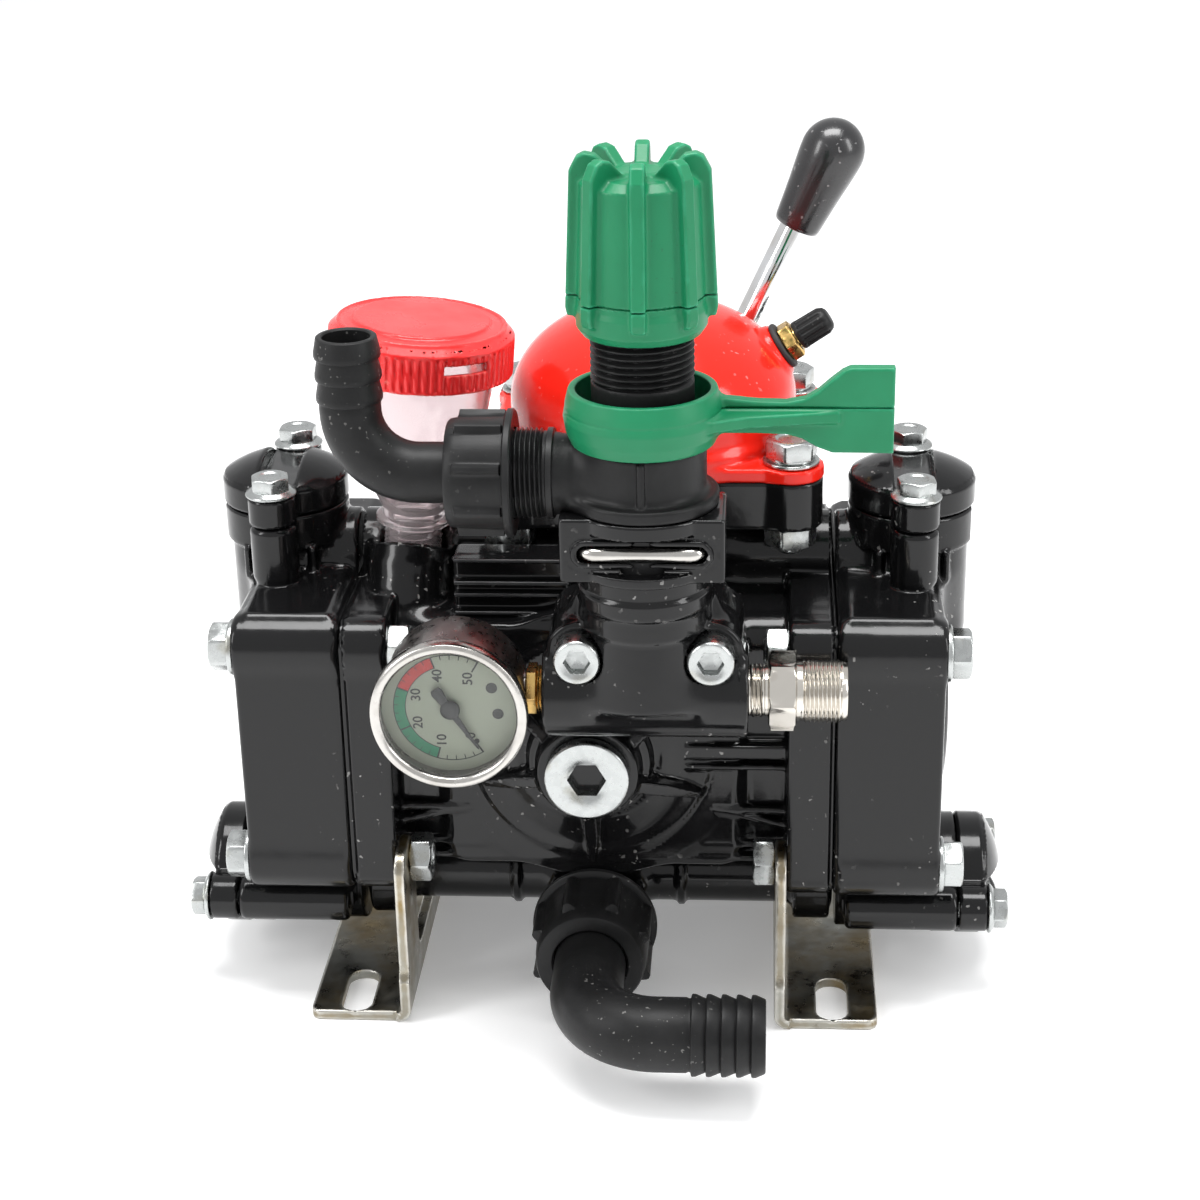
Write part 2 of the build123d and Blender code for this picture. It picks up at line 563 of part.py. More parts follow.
# The clip is one bent wire: its two legs run rearwards in the groove of the regulator body.
clip_end_y = unit_y + 21
with BuildPart() as retaining_clip:
    with BuildLine() as wire:
        FilletPolyline((unit_x - clip_x, clip_end_y, clip_z), (unit_x - clip_x, clip_front_y, clip_z),
                       (unit_x + clip_x, clip_front_y, clip_z), (unit_x + clip_x, clip_end_y, clip_z),
                       radius=5)
    with BuildSketch(Plane(origin=wire.line @ 0, z_dir=wire.line % 0)):
        Circle(clip_r)
    sweep(path=wire.line)
save(retaining_clip.part, "retaining_clip")

# ---------------------------------------------------------------- gauge
gauge = (gauge_x, 0, gauge_z)
case_r, bezel_r = 24.5, 27.0
front = -gauge_front_y
gauge_stem = (gauge_x, unit_y, gauge_z)
stem_end = 26.5  # from the middle of the gauge
with BuildPart() as gauge_case:
    add(turned([(front - 34, 0), (front - 34, 21.5), (front - 31, case_r), (front - 4, case_r),
                (front - 4, 23.3), (front - 31.5, 23.3), (front - 31.5, 0)], gauge, (0, -1, 0)))
    add(tube(6.2, 0, 21.5, stem_end, gauge_stem, right))
    add(tube(4.5, 0, 19.5, stem_end + 1, gauge_stem, right), mode=Mode.SUBTRACT)
save(gauge_case.part, "gauge_case")

save(turned([(front - 6, case_r + 0.05), (front - 6, bezel_r - 0.6), (front - 4.5, bezel_r),
             (front - 1.2, bezel_r), (front, bezel_r - 1.2), (front, 23.7), (front - 1.5, 23.1),
             (front - 1.5, 24.1), (front - 3.9, 24.1), (front - 3.9, case_r + 0.05)], gauge, (0, -1, 0)),
     "gauge_bezel")
save(tube(24.0, 0, front - 3.6, front - 1.6, gauge, (0, -1, 0)), "gauge_lens")
dial_y = front - 8.5
save(tube(23.2, 1.2, dial_y - 1, dial_y, gauge, (0, -1, 0)), "gauge_dial")

needle_y = dial_y + 1.6
needle_plane = Plane(origin=(gauge_x, -needle_y, gauge_z), x_dir=(math.cos(math.radians(gauge_zero)), 0,
                     math.sin(math.radians(gauge_zero))), z_dir=(0, -1, 0))
with BuildPart() as gauge_needle:
    with BuildSketch(needle_plane):
        with BuildLine():
            Polyline((-8, 1.3), (0, 1.1), (17, 0.35), (17, -0.35), (0, -1.1), (-8, -1.3), close=True)
        make_face()
        Circle(2.6)
    extrude(amount=0.6)
    add(tube(2, 0, dial_y + 0.3, needle_y + 1.4, gauge, (0, -1, 0)))
    add(tube(1, 0, dial_y - 3, dial_y + 0.4, gauge, (0, -1, 0)))
save(gauge_needle.part, "gauge_needle")

adapter_start = gauge_x + stem_end
with BuildPart() as gauge_adapter:
    add(tube(4.4, 2, adapter_start - 5, adapter_start + 0.2, (0, unit_y, gauge_z), right))
    add(turned([(adapter_start + 0.2, 2), (adapter_start + 0.2, 5.5), (bar_left, 5.5), (bar_left, 6.4),
                (bar_left + 12, 6.4), (bar_left + 12, 2)], (0, unit_y, bar_z), right))
    add(hexagon(14, adapter_start + 0.2, bar_left, (0, unit_y, bar_z), right))
    add(tube(2, 0, adapter_start - 6, bar_left + 13, (0, unit_y, bar_z), right), mode=Mode.SUBTRACT)
save(gauge_adapter.part, "gauge_adapter")

# ---------------------------------------------------------------- outlet
hex_low, hex_high, outlet_end = 63.7, 73.6, 90.8
with BuildPart() as outlet_fitting:
    add(turned([(bar_right - 11, 0), (bar_right - 11, 9.4), (hex_low, 9.4), (hex_low, 10.5), (hex_high, 10.5),
                (hex_high, 11), (outlet_end, 11), (outlet_end, 0)], (0, unit_y, bar_z), right))
    add(hexagon(24, hex_low, hex_high, (0, unit_y, bar_z), right))
    add(tube(7.5, 0, bar_right - 12, outlet_end + 1, (0, unit_y, bar_z), right), mode=Mode.SUBTRACT)
save(outlet_fitting.part, "outlet_fitting")

# ---------------------------------------------------------------- pressure regulator
body_r, rim_r, neck_top = 21.0, 26.0, 289.4
spring_bore_r, spring_floor = 12.5, 202.0
port_start, port_end = 29.4, 60.0  # thread of the bypass port, from the unit's axis
spigot_r, groove_r, groove_half = 19.0, 17.4, clip_r + 0.3
with BuildPart() as regulator_body:
    add(turned([(socket_floor + 0.5, 0), (socket_floor + 0.5, spigot_r), (clip_z - groove_half, spigot_r),
                (clip_z - groove_half, groove_r), (clip_z + groove_half, groove_r),
                (clip_z + groove_half, spigot_r), (plate_high, spigot_r), (plate_high + 0.5, 25),
                (plate_high + 3.5, rim_r), (body_low - 1, rim_r), (body_low, body_r), (body_high, body_r),
                (body_high, neck_r), (neck_top, neck_r), (neck_top, 0)], unit, up))
    add(turned([(0, 0), (0, 11.2), (24, 11.2), (port_start, 15), (port_start, 18.6), (port_end, 18.6),
                (port_end, 0)], (unit_x, unit_y, bypass_z), (-1, 0, 0)))
    with BuildSketch(Plane.XY.offset(body_low)):
        with Locations((unit_x, unit_y - body_r)):
            Rectangle(4, 2)
    extrude(amount=20)
    with BuildSketch(Plane.XY.offset(body_high)):
        with Locations((unit_x, unit_y - neck_r)):
            Circle(2.4)
    extrude(amount=12)
    add(tube(8, 0, 160, spring_floor, unit, up), mode=Mode.SUBTRACT)
    add(tube(spring_bore_r, 0, spring_floor, neck_top + 1, unit, up), mode=Mode.SUBTRACT)
    add(tube(8, 0, 8, port_end + 1, (unit_x, unit_y, bypass_z), (-1, 0, 0)), mode=Mode.SUBTRACT)
save(regulator_body.part, "regulator_body")

plunger_seat, plunger_top = 213.0, 222.0
with BuildPart() as regulator_plunger:
    add(turned([(192, 0), (199, 7.6), (spring_floor + 0.3, 7.6), (spring_floor + 0.3, 12), (plunger_seat, 12),
                (plunger_seat, 7.5), (plunger_top, 7.5), (plunger_top, 0)], unit, up))
save(regulator_plunger.part, "regulator_plunger")

cap_low, knob_roof = 292.0, 304.0
save(turned([(cap_low - 12, 0), (cap_low - 12, 7), (cap_low, 7), (cap_low, 12), (cap_low + 4, 12),
             (cap_low + 4, 5), (knob_roof - 0.2, 5), (knob_roof - 0.2, 0)], unit, up), "spring_cap")

spring_r, spring_wire = 9.6, 1.3
spring_start = plunger_seat + spring_wire + 0.3
with BuildPart() as regulator_spring:
    with BuildLine() as coil:
        Helix(pitch=11, height=cap_low - spring_wire - 0.5 - spring_start, radius=spring_r,
              center=(unit_x, unit_y, spring_start))
    with BuildSketch(Plane(origin=coil.line @ 0, z_dir=coil.line % 0)):
        Circle(spring_wire)
    sweep(path=coil.line, is_frenet=True)
save(regulator_spring.part, "regulator_spring")

# The relief lever turns on the body: a ring with a cam ledge inside and an arm with a paddle.
ring_low, ring_high, ring_r, ring_bore_r = 230.7, 249.2, 26.4, 22.1
ledge_r, ledge_z, ledge_t = 17.9, 238.0, 6.0
arm_start, arm_end, paddle_low, paddle_high = unit_x + 23.5, 104.0, 226.7, 256.0
with BuildPart() as relief_lever:
    add(turned([(ring_low, ring_bore_r), (ring_low, 24), (ring_low + 4, 25.8), (ring_low + 9, ring_r),
                (ring_low + 14, 25.8), (ring_high, 24.7), (ring_high, ring_bore_r)], unit, up))
    with BuildSketch(Plane.XY.offset(ledge_z)):
        with Locations((unit_x, unit_y)):
            Circle(ring_bore_r + 1)
            Circle(ledge_r, mode=Mode.SUBTRACT)
            with Locations((0, 30)):
                Rectangle(80, 60, mode=Mode.SUBTRACT)
            with Locations((37, -30)):
                Rectangle(80, 80, mode=Mode.SUBTRACT)
    extrude(amount=ledge_t)
    with BuildSketch(Plane.XZ.offset(-unit_y)):
        with BuildLine():
            Polyline((arm_start, 234.5), (69, 232.5), (84, paddle_low + 0.5), (arm_end, paddle_low),
                     (arm_end, paddle_high), (89.5, paddle_high), (73.5, 245.5), (arm_start, 245.5), close=True)
        make_face()
    extrude(amount=2.5, both=True)
    with BuildSketch(Plane.XY.offset(237.5)):
        with BuildLine():
            Polyline((arm_start, unit_y - 14.5), (71, unit_y - 2.5), (71, unit_y + 2.5),
                     (arm_start, unit_y + 14.5), close=True)
        make_face()
    extrude(amount=4)
    add(tube(ring_bore_r, 0, ring_low - 1, ledge_z, unit, up), mode=Mode.SUBTRACT)
    add(tube(ledge_r, 0, ring_low - 1, ring_high + 1, unit, up), mode=Mode.SUBTRACT)
    add(tube(ring_bore_r, 0, ledge_z + ledge_t, ring_high + 1, unit, up), mode=Mode.SUBTRACT)
save(relief_lever.part, "relief_lever")

knob_low, knob_high, knob_step = 263.8, 326.5, 276.4
with BuildPart() as pressure_knob:
    add(turned([(knob_low, 0), (knob_low, 19.6), (knob_low + 3, 21.5), (knob_step, 21.5),
                (knob_high - 9, 19.1), (knob_high - 7, 16.6), (knob_high - 7, 0)], unit, up))
    for i in range(8):
        turn = 22.5 + 45 * i
        radial = (math.cos(math.radians(turn)), math.sin(math.radians(turn)), 0)
        rib_plane = Plane(origin=unit, x_dir=radial, z_dir=Vector(*radial).cross(Vector(0, 0, 1)))
        with BuildSketch(rib_plane):
            with BuildLine():
                Polyline((18, knob_step), (24.5, knob_step), (22.3, knob_high - 5), (18.6, knob_high),
                         (14, knob_high - 1), (7, knob_high - 8), (7, knob_high - 12), (18, knob_high - 12),
                         close=True)
            make_face()
        extrude(amount=2.5, both=True)
    add(turned([(knob_low - 1, 0), (knob_low - 1, neck_r + 0.8), (neck_top + 9, neck_r + 0.8), (knob_roof, 14),
                (knob_roof, 0)], unit, up), mode=Mode.SUBTRACT)
save(pressure_knob.part, "pressure_knob")

# ---------------------------------------------------------------- bypass
bypass = (0, unit_y, bypass_z)
bypass_x = -75.1
bypass_top = 266.2
nut_end, nut_start = 43.2, 21.0  # leftwards from the middle of the pump
flange_face = port_end - unit_x + 0.3
bypass_nut = [(nut_start, 18.8), (nut_start, 23.5), (nut_start + 2.7, 23.5), (nut_start + 2.7, 21),
              (nut_end - 2, 20.5), (nut_end, 19), (nut_end, 10.7), (nut_end - 2.2, 10.7), (nut_end - 2.2, 18.8)]
save(union_nut(bypass_nut, 8, 21.5, (nut_start + 2.7, nut_end - 3.5), bypass, (-1, 0, 0)), "bypass_union_nut")

with BuildPart() as bypass_elbow:
    add(bent_pipe([(-flange_face, unit_y, bypass_z), (bypass_x, unit_y, bypass_z),
                   (bypass_x, unit_y, bypass_top)], 22, 10.3, 8))
    add(tube(18.5, 8, flange_face, nut_end - 2.5, bypass, (-1, 0, 0)))
    add(turned(barbs(bypass_top - 22.2, 7.4, 3, 10, 11.1, 8), (bypass_x, unit_y, 0), up))
save(bypass_elbow.part, "bypass_elbow")

# ---------------------------------------------------------------- drive train
eccentric = (0, 0, axis_z + stroke)
dog_r = 22.0
dog_seat_y = 59.0


def dogs(start, end, offset):
    """Four clutch dogs around the crank axis, turned by an offset in degrees."""
    with BuildPart() as teeth:
        with BuildSketch(Plane.XZ.offset(-start)):
            with Locations((0, axis_z)):
                with PolarLocations(16.8, 4, start_angle=offset):
                    Rectangle(8.4, 9)
        extrude(amount=start - end)
    return teeth.part


with BuildPart() as crankshaft:
    add(turned([(-56, 0), (-56, bearing_bore_r), (-38, bearing_bore_r), (-38, 12), (38, 12),
                (38, bearing_bore_r), (56.3, bearing_bore_r), (56.3, dog_r),
                (dog_seat_y, dog_r), (dog_seat_y, 6), (50, 6), (50, 0)], crank, rear))
    add(tube(17, 0, -14, 14, eccentric, rear))
    add(dogs(dog_seat_y, dog_seat_y + 5.5, 45))
save(crankshaft.part, "crankshaft")

save(tube(21, 17, -9, 9, eccentric, rear), "eccentric_bearing")


def ball_bearing(bore_r, outer_r, start, end):
    """Sealed ball bearing: inner and outer race with the seals between them, as one ring."""
    depth = 0.8
    return turned([(start, bore_r), (start, bore_r + 3), (start + depth, bore_r + 3),
                   (start + depth, outer_r - 3), (start, outer_r - 3), (start, outer_r), (end, outer_r),
                   (end, outer_r - 3), (end - depth, outer_r - 3), (end - depth, bore_r + 3),
                   (end, bore_r + 3), (end, bore_r)], crank, rear)


run = 0.03
with BuildPart() as shaft_bearings:
    add(ball_bearing(bearing_bore_r + run, bearing_outer_r, -52, -38.2))
    add(ball_bearing(bearing_bore_r + run, bearing_outer_r, 38.2, 52))
    add(ball_bearing(bearing_bore_r + run, 21, 101, 113))
save(shaft_bearings.part, "shaft_bearings")

yoke_half, slot_half_x, slot_half_z = 36.0, 29.6, 27.0
with BuildPart() as piston_yoke:
    with BuildSketch(Plane.XZ.offset(-8)):
        with Locations((0, axis_z)):
            RectangleRounded(2 * yoke_half, 66, 6)
            RectangleRounded(2 * slot_half_x, 2 * slot_half_z, 4, mode=Mode.SUBTRACT)
    extrude(amount=16)
    for side in (-1, 1):
        add(tube(9, 0, yoke_half - 2, 50, crank, (side, 0, 0)))
save(piston_yoke.part, "piston_yoke")

with BuildPart() as pistons:
    for side in (-1, 1):
        add(turned([(50, 0), (50, 18), (52, liner_r - 0.05), (78, liner_r - 0.05), (78, 9), (86.4, 9),
                    (86.4, m8_r + 0.02), (66, m8_r + 0.02), (66, 0)], crank, (side, 0, 0)))
save(pistons.part, "pistons")

with BuildPart() as cylinder_liners:
    for side in (-1, 1):
        add(tube(26, liner_r, 44, 83.9, crank, (side, 0, 0)))
save(cylinder_liners.part, "cylinder_liners")

with BuildPart() as diaphragms:
    for side in (-1, 1):
        add(turned([(86.5, 4.2), (86.5, 28), (84.8, 32), (84.8, 35), (86.5, 38.5), (86.5, 46), (89.5, 46),
                    (89.5, 38.5), (87.4, 35), (87.4, 32), (89.5, 27), (89.5, 4.2)], crank, (side, 0, 0)))
save(diaphragms.part, "diaphragms")

with BuildPart() as diaphragm_plates:
    for side in (-1, 1):
        add(tube(24, m8_r + 0.1, 89.6, 95, crank, (side, 0, 0)))
        add(turned([(67, 0), (67, m8_r), (95.02, m8_r), (95.02, 0)], crank, (side, 0, 0)))
        add(hexagon(13, 95.02, 100.4, crank, (side, 0, 0)))
save(diaphragm_plates.part, "diaphragm_plates")

# ---------------------------------------------------------------- valves
# Each valve is a caged disc on a seat ring, closed by a small spring; the water comes through the seat.
valves = {
    "delivery_disc_left": ((-valve_x, 0, delivery_pocket_z), up),
    "delivery_disc_right": ((valve_x, 0, delivery_pocket_z), up),
    "suction_disc_left": ((-suction_pocket_x, suction_y, suction_z), (-1, 0, 0)),
    "suction_disc_right": ((suction_pocket_x, suction_y, suction_z), (1, 0, 0)),
}
seat_t, disc_t, cage_top = 4.0, 2.45, 20.0
disc_start = seat_t + 0.05
disc_end = disc_start + disc_t
with BuildPart() as valve_cages:
    for seat, along in valves.values():
        add(tube(pocket_r - 0.1, 8, 0, seat_t, seat, along))
        add(tube(pocket_r - 0.1, 13, cage_top, cage_top + 2, seat, along))
        with BuildSketch(Plane(origin=seat, z_dir=along).offset(seat_t)):
            with PolarLocations(14.9, 4):
                Circle(1.5)
        extrude(amount=cage_top - seat_t)
        with BuildSketch(Plane(origin=seat, z_dir=along).offset(cage_top)):
            Rectangle(28, 5)
            Circle(5)
        extrude(amount=2)
save(valve_cages.part, "valve_cages")

valve_spring_r, valve_wire_r = 5.6, 0.5
with BuildPart() as valve_springs:
    for seat, along in valves.values():
        first = Vector(*seat) + Vector(*along) * (disc_end + valve_wire_r + 0.1)
        length = cage_top - disc_end - 2 * valve_wire_r - 0.2
        with BuildLine() as coil:
            Helix(pitch=3.2, height=length, radius=valve_spring_r, center=first, direction=along)
        with BuildSketch(Plane(origin=coil.line @ 0, z_dir=coil.line % 0)):
            Circle(valve_wire_r)
        sweep(path=coil.line, is_frenet=True)
save(valve_springs.part, "valve_springs")

for name, (seat, along) in valves.items():
    save(turned([(disc_start, 0), (disc_start, 11), (disc_end, 10), (disc_end, 0)], seat, along), name)

# ---------------------------------------------------------------- clutch
# The lever turns a cam ring; its helical slots draw the shift collar and dog sleeve forwards.
housing_r, ring_outer_r, skirt_r = 48.0, 41.5, 36.5
housing_end = 100.0
pin_y = 78.0
pin_r, slot_r = 2.3, 2.9
pin_angles = (30, 150, 270)


def spoke(angle, radius, inner, outer, y):
    """Round pin that points away from the crank axis."""
    direction = (math.cos(math.radians(angle)), 0, math.sin(math.radians(angle)))
    return tube(radius, 0, inner, outer, (0, y, axis_z), direction)


with BuildPart() as clutch_housing:
    with BuildSketch(Plane.XZ.offset(-core_y)):
        with Locations((0, axis_z)):
            RectangleRounded(104, 96, 8)
    extrude(amount=core_y - housing_flange_y)
    add(tube(housing_r, 0, core_y, housing_end, crank, rear))
    add(tube(housing_spigot_r - 0.1, 0, 38.2, core_y + 1, crank, rear))
    add(turned([(37, 0), (37, bearing_outer_r), (52, bearing_outer_r), (52, 15), (56, 15), (56, 42),
                (housing_end + 1, 42), (housing_end + 1, 0)], crank, rear), mode=Mode.SUBTRACT)
    for angle in pin_angles:
        for step in range(5):
            add(spoke(angle, slot_r, 40, 45.4, pin_y - step * clutch_shift / 4), mode=Mode.SUBTRACT)
    with BuildSketch(Plane.XZ.offset(-82)):
        with BuildLine():
            Polyline((0, axis_z), (-44, axis_z + 60), (44, axis_z + 60), close=True)
        make_face()
    extrude(amount=82 - housing_end - 1, mode=Mode.SUBTRACT)
    for sx in (-1, 1):
        for sz in (-1, 1):
            add(tube(m8_r + hole_gap, 0, core_y - 1, housing_flange_y + 1,
                     (sx * clutch_bolt_x, 0, axis_z + sz * clutch_bolt_z), rear), mode=Mode.SUBTRACT)
save(clutch_housing.part, "clutch_housing")

with BuildPart() as clutch_cover:
    add(turned([(housing_end, 0), (housing_end, housing_r), (105, housing_r), (106, 47), (106, 30),
                (115, 28), (117, 26), (117, 0)], crank, rear))
    add(turned([(housing_end - 1, 0), (housing_end - 1, 21), (113, 21), (113, 12), (118, 12), (118, 0)],
               crank, rear), mode=Mode.SUBTRACT)
save(clutch_cover.part, "clutch_cover")

lever_dir = (math.sin(math.radians(lever_angle)), 0, math.cos(math.radians(lever_angle)))
lever_origin = (0, lever_y, axis_z)
with BuildPart() as cam_ring:
    add(tube(ring_outer_r, skirt_r, 66, 84, crank, rear))
    add(tube(ring_outer_r, 25, 83.5, 98.5, crank, rear))
    add(tube(7.5, 0, 30, 64, lever_origin, lever_dir))
    add(tube(25, 0, 60, 99, crank, rear), mode=Mode.SUBTRACT)
    for angle in pin_angles:
        for step in range(15):
            share = step / 14
            add(spoke(angle - share * lever_swing, slot_r, 30, 43, pin_y - share * clutch_shift),
                mode=Mode.SUBTRACT)
    add(tube(5, 0, 50, 65, lever_origin, lever_dir), mode=Mode.SUBTRACT)
save(cam_ring.part, "cam_ring")

with BuildPart() as shift_collar:
    add(turned([(75, 23.5), (75, 34), (81, 34), (81, 23.5), (79.6, 23.5), (79.6, 18.4), (76.4, 18.4),
                (76.4, 23.5)], crank, rear))
    for angle in pin_angles:
        add(spoke(angle, pin_r, 32, 44.5, pin_y))
    with BuildSketch(Plane.XZ.offset(-70)):
        with Locations((0, axis_z)):
            Rectangle(100, 0.4)
    extrude(amount=-20, mode=Mode.SUBTRACT)
save(shift_collar.part, "shift_collar")

with BuildPart() as dog_sleeve:
    add(turned([(71, 0), (71, dog_r), (76, dog_r), (76, 18), (80, 18), (80, dog_r), (86, dog_r), (86, 0)],
               crank, rear))
    add(dogs(66, 71, 0))
    with BuildSketch(Plane.XZ.offset(-60)):
        with Locations((0, axis_z)):
            Rectangle(14.4, 14.4)
    extrude(amount=-30, mode=Mode.SUBTRACT)
save(dog_sleeve.part, "dog_sleeve")

with BuildPart() as input_shaft:
    add(turned([(51, 0), (51, 5.95), (65, 5.95), (65, bearing_bore_r), (shaft_shoulder_y, bearing_bore_r),
                (shaft_shoulder_y, shaft_r), (shaft_end_y - 1, shaft_r), (shaft_end_y, shaft_r - 1),
                (shaft_end_y, 0)], crank, rear))
    with BuildSketch(Plane.XZ.offset(-64)):
        with Locations((0, axis_z)):
            Circle(30)
            Rectangle(14, 14, mode=Mode.SUBTRACT)
    extrude(amount=-35, mode=Mode.SUBTRACT)
save(input_shaft.part, "input_shaft")

# ---------------------------------------------------------------- lever
rod_r = 6.0
save(turned([(51, 0), (51, 4.9), (64.1, 4.9), (64.1, rod_r), (180, rod_r), (180, 4.5), (205, 4.5), (205, 0)],
            lever_origin, lever_dir), "lever_rod")

grip_curve = [(206.5 + 12.8 * math.sin(math.radians(a)), 12.4 * math.cos(math.radians(a)))
              for a in range(0, 90, 10)]
save(turned([(174, rod_r + 0.1), (174, 8.8), (175, 9.6), (190, 10.6)] + grip_curve
            + [(219.3, 0), (205.2, 0), (205.2, 4.55), (180, 4.55), (180, rod_r + 0.1)],
            lever_origin, lever_dir), "lever_grip")
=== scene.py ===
# A twin-diaphragm sprayer pump, built up in the order in which it is put together.
import math
import bmesh
import bpy
import numpy as np
from mathutils import Matrix, Vector


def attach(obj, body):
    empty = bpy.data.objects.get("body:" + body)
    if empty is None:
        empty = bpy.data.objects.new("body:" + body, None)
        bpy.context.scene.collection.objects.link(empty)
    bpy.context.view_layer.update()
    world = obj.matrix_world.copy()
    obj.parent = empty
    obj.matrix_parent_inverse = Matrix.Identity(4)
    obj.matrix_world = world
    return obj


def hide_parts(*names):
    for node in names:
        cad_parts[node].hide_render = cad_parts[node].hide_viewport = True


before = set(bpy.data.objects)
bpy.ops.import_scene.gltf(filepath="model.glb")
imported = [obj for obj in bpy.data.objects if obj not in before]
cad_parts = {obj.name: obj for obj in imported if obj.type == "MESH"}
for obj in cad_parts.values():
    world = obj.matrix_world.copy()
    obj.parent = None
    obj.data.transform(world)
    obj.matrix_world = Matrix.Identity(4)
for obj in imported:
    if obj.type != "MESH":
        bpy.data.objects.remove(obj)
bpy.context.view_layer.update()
scene = bpy.context.scene

# ---------------------------------------------------------------- studio
# A seamless pale floor, a white room, a large soft box overhead and two soft side lights.
# The camera stands in front of the pump, a little above it, and looks down at it.


def principled(name, colour, rough, metal=0.0, coat=0.0, ior_level=0.5):
    """New material with its plain values set on the shader's own sockets."""
    material = bpy.data.materials.new(name)
    material.use_nodes = True
    shader = material.node_tree.nodes["Principled BSDF"]
    shader.inputs["Base Color"].default_value = (*colour, 1)
    shader.inputs["Roughness"].default_value = rough
    shader.inputs["Metallic"].default_value = metal
    shader.inputs["Coat Weight"].default_value = coat
    shader.inputs["Coat Roughness"].default_value = 0.05
    shader.inputs["Specular IOR Level"].default_value = ior_level
    return material, shader, material.node_tree


def add_mesh(name, verts, faces, smooth=True):
    """Mesh object in the scene from lists or arrays in metres."""
    mesh = bpy.data.meshes.new(name)
    mesh.from_pydata([tuple(v) for v in verts], [], [tuple(f) for f in faces])
    mesh.polygons.foreach_set("use_smooth", [smooth] * len(mesh.polygons))
    piece = bpy.data.objects.new(name, mesh)
    scene.collection.objects.link(piece)
    return piece


floor_r = 7.0
rim = [(floor_r * math.cos(t), floor_r * math.sin(t), 0) for t in np.linspace(0, 2 * math.pi, 65)[:-1]]
floor = add_mesh("floor", rim, [range(64)])
floor_paint, shader, tree = principled("floor_paint", (0.92, 0.92, 0.92), 0.9, ior_level=0.1)
grain = tree.nodes.new("ShaderNodeTexNoise")
grain.inputs["Scale"].default_value = 40
tint = tree.nodes.new("ShaderNodeMapRange")
tint.inputs["To Min"].default_value = 0.905
tint.inputs["To Max"].default_value = 0.935
tree.links.new(grain.outputs["Fac"], tint.inputs["Value"])
tree.links.new(tint.outputs["Result"], shader.inputs["Base Color"])
shader.inputs["Emission Color"].default_value = (1, 1, 1, 1)
shader.inputs["Emission Strength"].default_value = 0.2
floor.data.materials.append(floor_paint)

world = bpy.data.worlds.new("studio")
world.use_nodes = True
world.node_tree.nodes["Background"].inputs["Color"].default_value = (0.985, 0.99, 1.0, 1)
world.node_tree.nodes["Background"].inputs["Strength"].default_value = 0.82
scene.world = world
scene.view_settings.view_transform = "Standard"


def soft_box(name, place, target, width, height, watts):
    """Rectangular area light that faces a target."""
    light = bpy.data.lights.new(name, "AREA")
    light.shape = "RECTANGLE"
    light.size, light.size_y, light.energy = width, height, watts
    lamp = bpy.data.objects.new(name, light)
    lamp.location = place
    lamp.rotation_euler = (Vector(target) - Vector(place)).to_track_quat("-Z", "Y").to_euler()
    scene.collection.objects.link(lamp)


soft_box("overhead", (0.0, -0.1, 1.3), (0, 0, 0.15), 0.9, 0.45, 17)
soft_box("left_light", (-1.2, -0.7, 0.9), (0, 0, 0.15), 0.35, 0.9, 9)
soft_box("right_light", (1.3, -0.5, 0.8), (0, 0, 0.15), 0.3, 0.9, 7)

view_azimuth, view_pitch, view_roll = (math.radians(a) for a in (4.15346, 22.89223, -1.16436))
back = Vector((math.sin(view_azimuth) * math.cos(view_pitch), -math.cos(view_azimuth) * math.cos(view_pitch),
               math.sin(view_pitch)))
side = Vector((math.cos(view_azimuth), math.sin(view_azimuth), 0))
above = back.cross(side)
turn_c, turn_s = math.cos(view_roll), math.sin(view_roll)
axes = Matrix((side * turn_c + above * turn_s, above * turn_c - side * turn_s, back)).transposed()
camera = bpy.data.objects.new("camera", bpy.data.cameras.new("camera"))
camera.data.lens = 71.71
camera.data.sensor_width = 36
camera.matrix_world = Matrix.Translation((0.060689, -0.828409, 0.489003)) @ axes.to_4x4()
scene.collection.objects.link(camera)
scene.camera = camera

# ---------------------------------------------------------------- crankcase
# Sand-cast aluminium with a hollow core between two flanges, stove-enamelled gloss black.
# The front carries the bearing boss with its ribs; deck, duct and oil boss are cast on top.


def col(values):
    return np.array(values, float)[:, None]


def thick(flat, depth, edge):
    """Solid with rounded edges, from a distance in a plane and a distance across it."""
    a, b = flat + edge, depth + edge
    return np.minimum(np.maximum(a, b), 0) + np.hypot(np.maximum(a, 0), np.maximum(b, 0)) - edge


def block(p, centre, size, edge):
    """Box with rounded edges, by its middle and its size."""
    q = np.abs(p - col(centre)) - col(size) / 2 + edge
    return np.sqrt((np.maximum(q, 0) ** 2).sum(axis=0)) + np.minimum(q.max(axis=0), 0) - edge


def plate(p, axis, centre, size, corner, edge):
    """Plate across one axis with rounded corners and edges."""
    q = np.abs(p - col(centre)) - col(size) / 2
    u, v = [i for i in range(3) if i != axis]
    a, b = q[u] + corner, q[v] + corner
    flat = np.hypot(np.maximum(a, 0), np.maximum(b, 0)) + np.minimum(np.maximum(a, b), 0) - corner
    return thick(flat, q[axis], edge)


def rod(p, start, end, radius, edge, end_radius=None):
    """Round bar or cone between two points."""
    start = np.array(start, float)
    axis = np.array(end, float) - start
    length = math.sqrt(axis @ axis)
    axis /= length
    q = p - start[:, None]
    along = axis @ q
    out = np.sqrt(np.maximum((q * q).sum(axis=0) - along ** 2, 0))
    if end_radius is not None:
        out = out - (end_radius - radius) * np.clip(along / length, 0, 1)
    return thick(out - radius, np.maximum(-along, along - length), edge)


